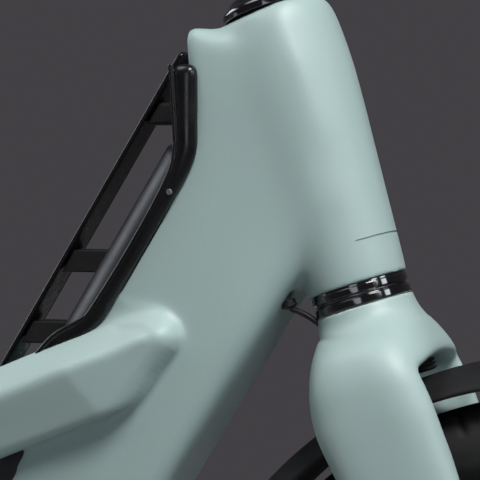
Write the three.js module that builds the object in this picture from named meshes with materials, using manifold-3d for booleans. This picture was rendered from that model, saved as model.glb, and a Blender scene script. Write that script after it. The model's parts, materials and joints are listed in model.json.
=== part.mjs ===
// Longtail electric cargo bicycle, as an assembly of its separate pieces.
// Units are millimetres. X points forward, Y to the rider's left, Z up, and the ground is z = 0.
// Places are worked out from the rear axle's foot point; the last lines move the origin to the middle of
// the bicycle's footprint.

import * as THREE from 'three';
import { mergeVertices } from 'three/addons/utils/BufferGeometryUtils.js';
import Module from 'manifold-3d';

const wasm = await Module();
wasm.setup();

// ---------- driving dimensions ----------

const GAP = 0.3;                    // clearance between pieces that touch
const WHEEL_RADIUS = 260;           // outside of a 20 x 2.4 inch tyre
const TYRE_HALF = 30;               // half the tyre's width
const RIM_RADIUS = 199.7;
const MUDGUARD_RADIUS = 285;
const AXLE_RADIUS = 6;

const STEERING_LEAN = THREE.MathUtils.degToRad(18);   // the head tube leans back from upright
const HEADSET = new THREE.Vector3(1140, 0, 578);      // middle of the lower headset, on the steering axis
const FORK_OFFSET = 40;             // axle ahead of the steering axis
const FORK_LENGTH = 347;            // lower headset to axle, along the steering axis
const HEAD_TUBE_LENGTH = 187;
const CUP_RADIUS = 31.8;
const CUP_HEIGHT = 7;
const STEERER_RADIUS = 14.3;
const BAR_HEIGHT = 478;             // handlebar clamp above the lower headset, along the steering axis

const DOWN_ANGLE = THREE.MathUtils.degToRad(58);      // down tube against the ground
const TUBE_HALF_WIDTH = 38;
const TUBE_DEPTH = 96;              // mint part of the down tube, square to its length
const COVER_EDGE = 110;             // battery housing's edge, measured from the down tube's underside
const COVER_CROWN = 130;
const RAIL_LEVEL = 152;             // accessory rail's inner face, measured the same way

const CRANK_AXLE = new THREE.Vector3(600, 0, 290);
const CRANK_LENGTH = 165;
const BELT_Y = -50;
const CHAINRING_RADIUS = 48;
const SPROCKET_RADIUS = 34;

const DECK_HEIGHT = 600;            // middle of the rack's rails
const RACK_HALF_WIDTH = 95;
const RACK_TAIL = -330;
const FOOTPRINT_MIDDLE = 602.6;      // middle of the whole bicycle, ahead of the rear axle

// ---------- materials ----------

const finish = (color, roughness, metalness = 0) =>
  new THREE.MeshStandardMaterial({ color, roughness, metalness });

const PAINT = finish(0xa8bdb8, 0.5, 0.1);
const PLASTIC = finish(0x1c1d1f, 0.6);
const GLOSS_BLACK = finish(0x0c0c0e, 0.15);
const BLACK_METAL = finish(0x1a1a1c, 0.35, 0.8);
const STEEL = finish(0x9a9da0, 0.35, 1);
const RUBBER = finish(0x161616, 0.9);
const TYRE_RUBBER = finish(0x1b1b1b, 0.95);
const FABRIC = finish(0x202124, 0.85);
const LENS = finish(0xdde3e6, 0.1);
const RED_LENS = finish(0x9c1414, 0.2);

// ---------- geometry helpers ----------

// Closed mesh whose shared vertices are merged, with its faces pointing out.
function closed(geometry) {
  const bare = geometry.clone();
  bare.deleteAttribute('normal');
  bare.deleteAttribute('uv');
  const merged = mergeVertices(bare, 1e-3);
  const at = merged.attributes.position;
  const index = Array.from(merged.index.array);
  const [a, b, c] = [0, 1, 2].map(() => new THREE.Vector3());
  const kept = [];
  let volume = 0;
  for (let i = 0; i < index.length; i += 3) {
    const face = [index[i], index[i + 1], index[i + 2]];
    if (new Set(face).size < 3) {
      continue;
    }
    kept.push(...face);
    a.fromBufferAttribute(at, face[0]);
    b.fromBufferAttribute(at, face[1]);
    c.fromBufferAttribute(at, face[2]);
    volume += a.dot(b.cross(c));
  }
  if (volume < 0) {
    kept.reverse();
  }
  merged.setIndex(kept);
  return merged;
}

function solidOf(geometry) {
  const shape = closed(geometry);
  return new wasm.Manifold(new wasm.Mesh({
    numProp: 3,
    vertProperties: new Float32Array(shape.attributes.position.array),
    triVerts: new Uint32Array(shape.index.array),
  }));
}

function geometryOf(solid) {
  const result = solid.getMesh();
  const geometry = new THREE.BufferGeometry();
  geometry.setAttribute('position', new THREE.BufferAttribute(result.vertProperties, 3));
  geometry.setIndex(new THREE.BufferAttribute(result.triVerts, 1));
  return geometry;
}

const join = (...pieces) =>
  geometryOf(pieces.map(solidOf).reduce((whole, piece) => whole.add(piece)));

const cut = (piece, ...tools) =>
  geometryOf(tools.map(solidOf).reduce((rest, tool) => rest.subtract(tool), solidOf(piece)));

// Moves every vertex of a geometry to where the function says.
function shaped(geometry, place) {
  const at = geometry.attributes.position;
  for (let i = 0; i < at.count; i += 1) {
    const p = place(at.getX(i), at.getY(i), at.getZ(i));
    at.setXYZ(i, p.x, p.y, p.z);
  }
  return geometry;
}

const v = (x, y, z) => new THREE.Vector3(x, y, z);
const mirrorY = (p) => v(p.x, -p.y, p.z);
const mix = (from, to, t) => from + (to - from) * t;

// A box by its size and its middle.
const block = (x, y, z, cx = 0, cy = 0, cz = 0) =>
  new THREE.BoxGeometry(x, y, z).translate(cx, cy, cz);

// A straight round bar between two points.
function bar(from, to, radius, sides = 10, endRadius = radius) {
  const along = to.clone().sub(from);
  const turn = new THREE.Quaternion().setFromUnitVectors(v(0, 1, 0), along.clone().normalize());
  const geometry = new THREE.CylinderGeometry(endRadius, radius, along.length(), sides);
  geometry.applyQuaternion(turn);
  const middle = from.clone().add(to).multiplyScalar(0.5);
  return geometry.translate(middle.x, middle.y, middle.z);
}

// A round bar across the bicycle, from y0 to y1.
const crossBar = (x, z, y0, y1, radius, sides = 16) => bar(v(x, y0, z), v(x, y1, z), radius, sides);

// A tube of rounded oblong section along a curve. size(t) gives half the width across the bicycle, half
// the height, and the squareness: 2 is an ellipse and more is squarer.
function sweep(curve, steps, sides, size) {
  return shaped(new THREE.CylinderGeometry(1, 1, 1, sides, steps), (x, y, z) => {
    const t = THREE.MathUtils.clamp(y + 0.5, 0, 1);
    const [halfWidth, halfHeight, square] = size(t);
    const along = curve.getTangentAt(t);
    const across = v(0, 1, 0).addScaledVector(along, -along.y).normalize();
    const up = across.clone().cross(along);
    const soften = (c) => Math.sign(c) * Math.abs(c) ** (2 / square);
    return curve.getPointAt(t)
      .addScaledVector(across, soften(x) * halfWidth)
      .addScaledVector(up, soften(z) * halfHeight);
  });
}

const through = (...points) => new THREE.CatmullRomCurve3(points, false, 'centripetal');
const round = (radius) => () => [radius, radius, 2];

// A plate drawn from the side, as (x, z) outlines, and given a thickness across the bicycle from y0 to y1.
function sidePlate(shape, y0, y1, bevel = 0, curveSegments = 8) {
  const geometry = new THREE.ExtrudeGeometry(shape, {
    depth: y1 - y0 - 2 * bevel,
    bevelEnabled: bevel > 0,
    bevelThickness: bevel,
    bevelSize: bevel,
    bevelOffset: -bevel,
    bevelSegments: 3,
    curveSegments,
  });
  return geometry.rotateX(Math.PI / 2).translate(0, y1 - bevel, 0);
}

function outline(points) {
  return new THREE.Shape(points.map(([x, y]) => new THREE.Vector2(x, y)));
}

// A ring about the Z axis, from its closed section of [radius, z] corners.
function turned(section, segments = 24) {
  const profile = section.concat([section[0]]).map(([r, z]) => new THREE.Vector2(r, z));
  return new THREE.LatheGeometry(profile, segments).rotateX(Math.PI / 2);
}

// A solid body about the Z axis, from its outline of [radius, z] corners; both ends close on the axis.
function spun(section, segments = 24) {
  const profile = [[0, section[0][1]], ...section, [0, section[section.length - 1][1]]];
  return new THREE.LatheGeometry(profile.map(([r, z]) => new THREE.Vector2(r, z)), segments)
    .rotateX(Math.PI / 2);
}

// The same about the Y axis, for wheels and other pieces that turn on axles, from [radius, y] corners.
function wheelTurned(section, segments) {
  const profile = section.concat([section[0]]).map(([r, y]) => new THREE.Vector2(r, y));
  return new THREE.LatheGeometry(profile, segments);
}

// A curved shell: a thin arc of mudguard about an axle, between two angles from straight ahead.
function mudguardArc(radius, halfWidth, thickness, from, to, steps) {
  return shaped(new THREE.BoxGeometry(1, 1, 1, 4, 1, steps), (x, y, z) => {
    const angle = mix(from, to, z + 0.5);
    const drop = 14 * (2 * Math.abs(x)) ** 2.5;
    const r = radius - drop - (y < 0 ? thickness : 0);
    return v(r * Math.cos(angle), 2 * x * (halfWidth - (y < 0 ? thickness * 0.6 : 0)), r * Math.sin(angle));
  });
}

// ---------- the assembly ----------

const bicycle = new THREE.Group();
const steering = new THREE.Group();
steering.position.copy(HEADSET);
steering.rotation.y = -STEERING_LEAN;
const frontAxle = new THREE.Group();
frontAxle.position.set(FORK_OFFSET, 0, -FORK_LENGTH);
steering.add(frontAxle);
const rearAxle = new THREE.Group();
rearAxle.position.set(0, 0, WHEEL_RADIUS);
const crankAxle = new THREE.Group();
crankAxle.position.copy(CRANK_AXLE);
bicycle.add(steering, rearAxle, crankAxle);

function add(name, geometry, material, parent = bicycle) {
  const mesh = new THREE.Mesh(closed(geometry), material);
  mesh.name = name;
  parent.add(mesh);
  return mesh;
}

const bothSides = (make) => [['left', 1], ['right', -1]].forEach(([side, sign]) => make(side, sign));

// A point in the steering group, in the bicycle's own frame.
const onSteering = (x, z) => {
  const [c, s] = [Math.cos(STEERING_LEAN), Math.sin(STEERING_LEAN)];
  return v(HEADSET.x + x * c - z * s, 0, HEADSET.z + x * s + z * c);
};

// A point on the down tube: its distance down the tube and its height above the tube's underside.
const UNDERSIDE = v(HEADSET.x - 37, 0, HEADSET.z + 3);
const onDownTube = (along, height) => v(
  UNDERSIDE.x - along * Math.cos(DOWN_ANGLE) - height * Math.sin(DOWN_ANGLE),
  0,
  UNDERSIDE.z - along * Math.sin(DOWN_ANGLE) + height * Math.cos(DOWN_ANGLE),
);
const flat = (p) => [p.x, p.z];

// ---------- head tube and down tube ----------

const HEAD_BOTTOM = CUP_HEIGHT + 2 * GAP;
const HEAD_TOP = HEAD_BOTTOM + HEAD_TUBE_LENGTH;
const HEAD_SECTION = [[32.6, HEAD_BOTTOM], [33.6, 40], [36.5, 85], [39, 120], [39, 165], [34, HEAD_TOP]];
const HEAD_BORE = 26;

add('head_tube', turned([...HEAD_SECTION, [HEAD_BORE, HEAD_TOP], [HEAD_BORE, HEAD_BOTTOM]], 24), PAINT,
  steering);

function inSteering(geometry) {
  return geometry.rotateY(-STEERING_LEAN).translate(HEADSET.x, HEADSET.y, HEADSET.z);
}

const headTubeRoom = inSteering(spun(
  [[32.6 + GAP, -20], ...HEAD_SECTION.map(([r, z]) => [r + GAP, z]), [34 + GAP, HEAD_TOP + 20]], 24));

const TUBE_END = 270;               // where the down tube's straight stretch ends and the keel tube begins

const downTubeOutline = outline([
  flat(onSteering(-10, HEAD_BOTTOM + 6)),
  flat(onSteering(-36, HEAD_BOTTOM + 4)),
  flat(onDownTube(14, 1)),
  flat(onDownTube(40, 0)),
  flat(onDownTube(TUBE_END, 0)),
  flat(onDownTube(TUBE_END, TUBE_DEPTH)),
  flat(onDownTube(-8, TUBE_DEPTH)),
  flat(onDownTube(-38, TUBE_DEPTH - 3)),
  [HEADSET.x - 97, HEADSET.z + 100],
  [HEADSET.x - 99, HEADSET.z + 140],
  [HEADSET.x - 103, HEADSET.z + 166],
  flat(onSteering(-30, HEAD_TOP - 12)),
]);
const BATTERY_HALF_WIDTH = 28;
const BATTERY_FLOOR = 40;
const BATTERY_TOP_END = -28;
const tubeSlope = (geometry, p) => geometry.rotateY(-Math.PI / 2 - DOWN_ANGLE).translate(p.x, p.y, p.z);

// A block lying along the down tube, between two distances along it and two heights above its underside.
function downTubeBlock(from, to, low, high, halfWidth) {
  const middle = onDownTube((from + to) / 2, (low + high) / 2);
  return tubeSlope(block(high - low, 2 * halfWidth, to - from), middle);
}

const CABLE_SIDE = -14;
const grommetAt = onDownTube(8, -0.5);
const GROMMET_INSIDE = grommetAt.clone().add(v(-1.2, CABLE_SIDE, 3.2));
const GROMMET_OUTSIDE = grommetAt.clone().add(v(1.6, CABLE_SIDE, -4));

add('down_tube', cut(
  sidePlate(downTubeOutline, -TUBE_HALF_WIDTH, TUBE_HALF_WIDTH),
  headTubeRoom,
  downTubeBlock(BATTERY_TOP_END - 2, TUBE_END + 20, BATTERY_FLOOR - 2, 140, BATTERY_HALF_WIDTH + 2),
  bar(GROMMET_INSIDE.clone().lerp(GROMMET_OUTSIDE, -1.5), GROMMET_OUTSIDE, 5.4, 12),
), PAINT);

add('battery_pack', downTubeBlock(BATTERY_TOP_END, TUBE_END - 12, BATTERY_FLOOR, TUBE_DEPTH,
  BATTERY_HALF_WIDTH), BLACK_METAL);

// The crowned housing over the battery.
const COVER_FROM = -34;
function crownedCover(extra) {
  return shaped(new THREE.BoxGeometry(1, 1, 1, 8, 1, 6), (x, y, z) => {
    const across = 2 * x * (TUBE_HALF_WIDTH - GAP);
    const crown = (COVER_CROWN - COVER_EDGE) * (1 - (2 * x) ** 2) + COVER_EDGE;
    const ending = 1 - 0.18 * Math.max(0, 2 * Math.abs(z) - 0.66) / 0.34;
    const height = y < 0 ? TUBE_DEPTH + GAP : TUBE_DEPTH + GAP + (crown + extra - TUBE_DEPTH) * ending;
    const p = onDownTube(mix(COVER_FROM, TUBE_END - 4, z + 0.5), height);
    return v(p.x, across, p.z);
  });
}
add('battery_housing', crownedCover(0), PLASTIC);

// The moulded strips along both sides of the housing. Their tails follow the side tubes.
const trimOutline = outline([
  [HEADSET.x - 98.9, HEADSET.z + 150],
  [HEADSET.x - 98.9, HEADSET.z + 94],
  [HEADSET.x - 102.5, HEADSET.z + 83],
  [HEADSET.x - 108.6, HEADSET.z + 72],
  [HEADSET.x - 131.7, HEADSET.z + 36],
  [HEADSET.x - 170.5, HEADSET.z - 27],
  [HEADSET.x - 216, HEADSET.z - 45.5],
  [HEADSET.x - 211, HEADSET.z - 39],
  [HEADSET.x - 199.4, HEADSET.z - 28.5],
  [HEADSET.x - 181, HEADSET.z - 18.5],
  [HEADSET.x - 172.4, HEADSET.z - 9],
  [HEADSET.x - 141.6, HEADSET.z + 36],
  [HEADSET.x - 117.8, HEADSET.z + 78],
  [HEADSET.x - 113.2, HEADSET.z + 97],
  [HEADSET.x - 113, HEADSET.z + 108],
  [HEADSET.x - 117, HEADSET.z + 150],
]);
bothSides((side, sign) => {
  const [inner, outer] = [TUBE_HALF_WIDTH + GAP, TUBE_HALF_WIDTH + 7];
  const [y0, y1] = sign > 0 ? [inner, outer] : [-outer, -inner];
  add(`trim_${side}`, sidePlate(trimOutline, y0, y1, 2), PLASTIC);
});

// The accessory rail and its three feet.
const RAIL_HALF_WIDTH = 13.5;
const RAIL_THICKNESS = 3;
const RAIL_FROM = -88;
const RAIL_TO = 178;
add('accessory_rail', downTubeBlock(RAIL_FROM, RAIL_TO, RAIL_LEVEL, RAIL_LEVEL + RAIL_THICKNESS,
  RAIL_HALF_WIDTH), BLACK_METAL);
const railRoom = downTubeBlock(RAIL_FROM - 30, RAIL_TO + 30, RAIL_LEVEL - GAP, RAIL_LEVEL + 60,
  RAIL_HALF_WIDTH + 20);
const FEET = { upper: 121, middle: 22, lower: -27 };   // heights of the feet above the headset
const FOOT_HEIGHT = 15;
const FOOT_WIDTH = 22;

// How far forward the down tube's level "height" is, at a given rise above the headset.
const levelAt = (rise, height) =>
  onDownTube((UNDERSIDE.z - HEADSET.z - rise + height * Math.cos(DOWN_ANGLE)) / Math.sin(DOWN_ANGLE), height).x;
for (const [place, rise] of Object.entries(FEET)) {
  const back = levelAt(rise, RAIL_LEVEL + 12);
  const front = Math.min(levelAt(rise, TUBE_DEPTH + 10), HEADSET.x - 90);
  const foot = block(front - back, FOOT_WIDTH, FOOT_HEIGHT, (front + back) / 2, 0, HEADSET.z + rise);
  add(`rail_foot_${place}`, cut(foot, crownedCover(GAP), railRoom,
    sidePlate(downTubeOutline, -TUBE_HALF_WIDTH - GAP, TUBE_HALF_WIDTH + GAP).translate(-GAP, 0, 0)), PLASTIC);
}

// ---------- lower frame ----------

const keelStart = onDownTube(TUBE_END + GAP, TUBE_DEPTH / 2);
const KEEL_END = v(702, 0, 288);
const keelCurve = new THREE.CubicBezierCurve3(
  keelStart,
  keelStart.clone().add(v(-75 * Math.cos(DOWN_ANGLE), 0, -75 * Math.sin(DOWN_ANGLE))),
  KEEL_END.clone().add(v(110, 0, 4)),
  KEEL_END,
);
add('keel_tube', sweep(keelCurve, 10, 16, (t) => [mix(38, 32, t), mix(48, 36, t), 5]), PAINT);

const MOTOR_RIGHT = -40;
const motorOutline = outline([
  [538, 236], [574, 208], [660, 214], [697, 250], [699.5, 326], [668, 344], [610, 348], [560, 338], [532, 300],
]);
const CRANK_BORE = 11;
add('motor_housing', cut(
  sidePlate(motorOutline, MOTOR_RIGHT, 48, 8),
  crossBar(CRANK_AXLE.x, CRANK_AXLE.z, -80, 80, CRANK_BORE + GAP, 16),
), PLASTIC);

const SEAT_TUBE_LEAN = THREE.MathUtils.degToRad(20);
const seatTube = new THREE.Group();
seatTube.position.set(578, 0, 349);
seatTube.rotation.y = -SEAT_TUBE_LEAN;
bicycle.add(seatTube);
const SEAT_TUBE_LENGTH = 250;
const SEAT_TUBE_RADIUS = 19;
const POST_RADIUS = 13.6;
add('seat_tube', turned([[SEAT_TUBE_RADIUS, 9], [SEAT_TUBE_RADIUS, SEAT_TUBE_LENGTH],
  [POST_RADIUS + 0.5, SEAT_TUBE_LENGTH], [POST_RADIUS + 0.5, 9]], 20), PAINT, seatTube);

// The side tubes run from the head of the frame to the rear dropouts.
const SIDE_TUBE_PATH = [
  v(1038, 53.6, 550), v(1006, 53.6, 538), v(979, 53.6, 525), v(910, 53.6, 498), v(840, 54, 470),
  v(720, 56, 429), v(600, 58, 396), v(440, 64, 356), v(250, 74, 320), v(120, 76, 296), v(34, 76, 280),
];
bothSides((side, sign) => {
  const path = through(...SIDE_TUBE_PATH.map((p) => (sign > 0 ? p : mirrorY(p))));
  add(`side_tube_${side}`, sweep(path, 14, 10, (t) => {
    const nose = Math.min(1, 0.55 + t / 0.035);
    return [mix(15, 12, t) * Math.min(1, nose + 0.2), mix(27, 17, t) * nose, 3];
  }), PAINT);
});

// Chainstays with the dropout plates that hold the rear axle.
const DROPOUT_INNER = 66;
const DROPOUT_THICKNESS = 8;
const dropout = new THREE.Shape();
dropout.moveTo(-24, -26);
dropout.lineTo(22, -30);
dropout.lineTo(44, -10);
dropout.lineTo(34, 8);
dropout.lineTo(18, 14);
dropout.lineTo(-6, 40);
dropout.lineTo(-26, 40);
dropout.closePath();
dropout.holes.push(new THREE.Path().absarc(0, 0, AXLE_RADIUS + 0.4, 0, 2 * Math.PI, true));
const STAND_PIVOT = v(425, 0, 206);
bothSides((side, sign) => {
  const path = through(...[
    v(530, 28, 274), v(420, 34, 268), v(300, 58, 260), v(150, 69.5, 250), v(38, 70, 244),
  ].map((p) => (sign > 0 ? p : mirrorY(p))));
  const plate = sidePlate(dropout, sign > 0 ? DROPOUT_INNER : -DROPOUT_INNER - DROPOUT_THICKNESS,
    sign > 0 ? DROPOUT_INNER + DROPOUT_THICKNESS : -DROPOUT_INNER, 0, 6).translate(0, 0, WHEEL_RADIUS);
  const hanger = block(34, 9, 70, STAND_PIVOT.x, sign * 34, STAND_PIVOT.z + 22);
  add(`chainstay_${side}`, cut(
    join(sweep(path, 8, 8, round(10)), plate, hanger),
    crossBar(STAND_PIVOT.x, STAND_PIVOT.z, -80, 80, 8.4, 12),
    crossBar(0, WHEEL_RADIUS, -120, 120, AXLE_RADIUS + 0.4, 12),
  ), PAINT);
});

// ---------- rack and running boards ----------

const RAIL_RADIUS = 10;
bothSides((side, sign) => {
  const y = sign * RACK_HALF_WIDTH;
  const rail = through(v(RACK_TAIL, y, DECK_HEIGHT), v(-100, y, DECK_HEIGHT), v(200, y, DECK_HEIGHT),
    v(380, y, DECK_HEIGHT - 2), v(440, y * 0.93, DECK_HEIGHT - 40), v(500, sign * 68, 410));
  const strut = bar(v(14, sign * 90, 305), v(-40, y, DECK_HEIGHT - 4), 9, 10);
  const foot = bar(v(14, sign * 90, 308), v(-14, sign * 79, 288), 7, 8);
  add(`rack_side_${side}`, cut(join(sweep(rail, 12, 8, round(RAIL_RADIUS)), strut, foot),
    block(60, DROPOUT_THICKNESS + 2 * GAP, 120, -6, sign * (DROPOUT_INNER + DROPOUT_THICKNESS / 2), 270)),
  PAINT);
});

const deckShape = outline([
  [RACK_TAIL + 4, -84], [396, -84], [420, -60], [420, 60], [396, 84], [RACK_TAIL + 4, 84],
]);
const deckSlots = [];
for (let i = 0; i < 9; i += 1) {
  deckSlots.push(block(26, 104, 40, RACK_TAIL + 73 + i * 76, 0, DECK_HEIGHT));
}
const deckPlate = new THREE.ExtrudeGeometry(deckShape, { depth: 14, bevelEnabled: false })
  .translate(0, 0, DECK_HEIGHT - 6);
add('rack_deck', cut(deckPlate, ...deckSlots), PLASTIC);

// A running board each side, on two arms that reach in to the chainstay and side tube.
const BOARD = { back: -130, front: 330, inner: 128, outer: 232, level: 282 };
bothSides((side, sign) => {
  const middle = sign * (BOARD.inner + BOARD.outer) / 2;
  const board = block(BOARD.front - BOARD.back, BOARD.outer - BOARD.inner, 14,
    (BOARD.front + BOARD.back) / 2, middle, BOARD.level);
  const arms = [-60, 262].map((x) =>
    block(30, BOARD.inner - 92, 10, x, sign * (BOARD.inner + 94) / 2, BOARD.level));
  const ribs = [0, 1, 2, 3].map((i) =>
    block(BOARD.front - BOARD.back - 30, 6, 4, (BOARD.front + BOARD.back) / 2,
      sign * (BOARD.inner + 16 + i * 24), BOARD.level + 8));
  add(`running_board_${side}`, join(board, ...arms, ...ribs), PLASTIC);
});

// ---------- mudguards and lights ----------

add('rear_mudguard', mudguardArc(MUDGUARD_RADIUS, 37, 3, THREE.MathUtils.degToRad(18),
  THREE.MathUtils.degToRad(200), 14), PLASTIC, rearAxle);
add('tail_light', block(18, 110, 34, RACK_TAIL - 1, 0, DECK_HEIGHT - 26), RED_LENS);

const STAY_ANGLE = THREE.MathUtils.degToRad(196);
add('front_mudguard', join(
  mudguardArc(MUDGUARD_RADIUS, 37, 3, THREE.MathUtils.degToRad(48), THREE.MathUtils.degToRad(206), 13),
  ...[1, -1].map((sign) => bar(
    v(MUDGUARD_RADIUS * Math.cos(STAY_ANGLE) + 12, sign * 37, MUDGUARD_RADIUS * Math.sin(STAY_ANGLE)),
    v(-25, sign * 47.6, -4), 2.5, 6)),
), PLASTIC, frontAxle);

// ---------- headset and fork ----------

const BEARING_INNER = STEERER_RADIUS + 5;
add('lower_cup', turned([
  [CUP_RADIUS, GAP], [CUP_RADIUS + 0.4, 1.4], [CUP_RADIUS - 0.6, CUP_HEIGHT], [HEAD_BORE + 1, CUP_HEIGHT],
  [HEAD_BORE + 1, GAP],
], 24), GLOSS_BLACK, steering);
add('lower_bearing', turned([
  [HEAD_BORE - GAP, GAP], [HEAD_BORE - GAP, CUP_HEIGHT + 3], [BEARING_INNER, CUP_HEIGHT + 3],
  [BEARING_INNER, GAP],
], 20), STEEL, steering);
add('crown_race', turned([
  [CUP_RADIUS - 0.6, -GAP], [CUP_RADIUS, -1.4], [CUP_RADIUS + 0.4, -CUP_HEIGHT],
  [STEERER_RADIUS + GAP, -CUP_HEIGHT], [STEERER_RADIUS + GAP, -GAP],
], 24), GLOSS_BLACK, steering);
add('upper_cup', turned([
  [34, HEAD_TOP + GAP], [34, HEAD_TOP + 5], [27, HEAD_TOP + 12], [STEERER_RADIUS + GAP, HEAD_TOP + 12],
  [STEERER_RADIUS + GAP, HEAD_TOP + GAP],
], 24), GLOSS_BLACK, steering);

// The fork: a collar that widens into the crown, two straight legs and the steerer tube, as one welded piece.
const COLLAR_TOP = -CUP_HEIGHT - GAP;
const CROWN_STATIONS = [
  // distance below the headset, half width across, half depth fore and aft, squareness
  [COLLAR_TOP, 32, 32, 2],
  [-20, 32.5, 32, 2],
  [-25, 42, 33, 2.4],
  [-31, 55, 34, 3],
  [-38, 61, 35, 3.4],
  [-46, 63, 35, 3.6],
];
const crown = shaped(new THREE.CylinderGeometry(1, 1, 1, 16, CROWN_STATIONS.length - 1), (x, y, z) => {
  const [drop, across, depth, square] = CROWN_STATIONS[Math.round((0.5 - y) * (CROWN_STATIONS.length - 1))];
  const soften = (c) => Math.sign(c) * Math.abs(c) ** (2 / square);
  return v(soften(x) * depth, -soften(z) * across, drop);
});
const LEG_Y = 51;
const forkParts = [crown, bar(v(0, 0, -30), v(0, 0, 300), STEERER_RADIUS, 20)];
bothSides((side, sign) => {
  const leg = through(v(0, sign * LEG_Y, -45), v(2, sign * (LEG_Y + 1), -110),
    v(22, sign * (LEG_Y + 3), -240), v(FORK_OFFSET - 3, sign * (LEG_Y + 4), -FORK_LENGTH + 8));
  forkParts.push(sweep(leg, 6, 10, (t) => [mix(12, 7, t), mix(34.5, 14, t ** 0.8), 2.6]));
  forkParts.push(crossBar(FORK_OFFSET, -FORK_LENGTH, sign * (LEG_Y), sign * (LEG_Y + 9), 17, 16));
});
add('fork', cut(
  join(...forkParts),
  crossBar(FORK_OFFSET, -FORK_LENGTH, -120, 120, AXLE_RADIUS + 0.4, 16),
  block(90, 2 * (LEG_Y - 12.5), 60, 0, 0, -76),
), PAINT, steering);

// The ribbed rubber boot between the fork legs, under the front of the crown.
const BOOT_RIBS = 4;
const BOOT_PITCH = 3;
const BOOT_TOP = -46.6;
const bootSection = [[5, BOOT_TOP]];
for (let i = 0; i < BOOT_RIBS; i += 1) {
  const top = BOOT_TOP - i * BOOT_PITCH;
  bootSection.push([12, top], [12, top - 1.6], [9.5, top - 2.3]);
}
bootSection.push([5, BOOT_TOP - BOOT_RIBS * BOOT_PITCH]);
add('cable_boot', turned(bootSection, 12).translate(24, 0, 0), RUBBER, steering);

// The cable that leaves the down tube's underside and enters the back of the fork crown.
const CABLE_POINTS = [
  GROMMET_OUTSIDE.clone().lerp(GROMMET_INSIDE, -0.1),
  v(HEADSET.x - 37.4, CABLE_SIDE, HEADSET.z - 13.5),
  v(HEADSET.x - 33, CABLE_SIDE, HEADSET.z - 17.2),
  v(HEADSET.x - 26.5, CABLE_SIDE, HEADSET.z - 18.6),
];
add('cable_grommet', bar(GROMMET_INSIDE, GROMMET_OUTSIDE, 5, 12, 3.4), RUBBER);
add('front_cable', sweep(through(...CABLE_POINTS), 8, 8, round(2.2)), RUBBER);

// ---------- stem, handlebar and controls ----------

add('stem', cut(
  join(
    bar(v(0, 0, HEAD_TOP + 13), v(0, 0, 305), 21, 20),
    bar(v(0, 0, 300), v(0, 0, BAR_HEIGHT - 18), 17, 20),
    bar(v(-4, 0, BAR_HEIGHT - 30), v(50, 0, BAR_HEIGHT), 17, 16),
    crossBar(52, BAR_HEIGHT, -24, 24, 23, 20),
  ),
  bar(v(0, 0, HEAD_TOP), v(0, 0, 303), STEERER_RADIUS + GAP, 20),
  crossBar(52, BAR_HEIGHT, -60, 60, 15.9, 20),
), BLACK_METAL, steering);

const GRIP_START = v(8, 212, BAR_HEIGHT + 32);
const GRIP_END = v(-46, 338, BAR_HEIGHT + 32);
const gripWay = GRIP_END.clone().sub(GRIP_START).normalize();
const barHalf = [v(52, 24, BAR_HEIGHT), v(50, 70, BAR_HEIGHT + 6), v(34, 140, BAR_HEIGHT + 26),
  v(18, 186, BAR_HEIGHT + 32), GRIP_START, GRIP_END];
const barPoints = [...barHalf.map(mirrorY).reverse(), ...barHalf];
const handlebarCurve = through(...barPoints);
const handlebarTube = new THREE.ExtrudeGeometry(new THREE.Shape().absarc(0, 0, 11, 0, 2 * Math.PI, false), {
  steps: 22, extrudePath: handlebarCurve, bevelEnabled: false, curveSegments: 4,
});
const perches = [1, -1].map((sign) => {
  const along = sign > 0 ? gripWay : mirrorY(gripWay);
  const base = (sign > 0 ? GRIP_START : mirrorY(GRIP_START)).clone().addScaledVector(along, -16);
  const collar = bar(base.clone().addScaledVector(along, -7), base.clone().addScaledVector(along, 7), 16, 12);
  return [collar, bar(base, base.clone().add(v(34, sign * 6, -2)), 7, 8)];
}).flat();
add('handlebar', join(handlebarTube, crossBar(52, BAR_HEIGHT, -30, 30, 15.6, 20), ...perches), BLACK_METAL,
  steering);

bothSides((side, sign) => {
  const place = (p) => (sign > 0 ? p : mirrorY(p));
  const grip = new THREE.LatheGeometry([[11.4, 0], [17, 1], [15.5, 50], [17.5, 110], [17, 124], [11.4, 124],
    [11.4, 0]].map(([r, y]) => new THREE.Vector2(r, y)), 16);
  grip.applyQuaternion(new THREE.Quaternion().setFromUnitVectors(v(0, 1, 0), place(gripWay)));
  const at = place(GRIP_START.clone().addScaledVector(gripWay, 8));
  add(`grip_${side}`, grip.translate(at.x, at.y, at.z), RUBBER, steering);
  const pivot = place(GRIP_START.clone().addScaledVector(gripWay, -16).add(v(45, 8, -2)));
  const tip = pivot.clone().add(v(-34, sign * 128, -6));
  const blade = through(pivot, pivot.clone().add(v(8, sign * 28, 0)),
    pivot.clone().add(v(-10, sign * 78, -4)), tip);
  add(`brake_lever_${side}`, join(sweep(blade, 8, 8, (t) => [mix(5, 3.4, t), mix(6, 7, t), 2.5]),
    bar(pivot.clone().add(v(0, 0, -8)), pivot.clone().add(v(0, 0, 8)), 6, 12)), BLACK_METAL, steering);
});

const displayAt = v(66, 0, BAR_HEIGHT + 34);
const DISPLAY_TILT = THREE.MathUtils.degToRad(-2);
const tiltDisplay = (geometry) => geometry.rotateY(DISPLAY_TILT).translate(displayAt.x, 0, displayAt.z);
add('display', cut(
  join(tiltDisplay(block(62, 86, 12)), crossBar(52, BAR_HEIGHT + 26.5, -10, 10, 2.8, 8)),
  tiltDisplay(block(9, 21, 8, -23, 0, 5)),
), PLASTIC, steering);
const BUTTON_TRAVEL = 1.2;
add('display_button', tiltDisplay(block(8, 20, 4, -23, 0, 3 + BUTTON_TRAVEL + GAP)), RUBBER, steering);

add('front_light', bar(v(70, 0, BAR_HEIGHT - 44), v(112, 0, BAR_HEIGHT - 50), 17, 20, 23), LENS, steering);

// ---------- wheels ----------

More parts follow.
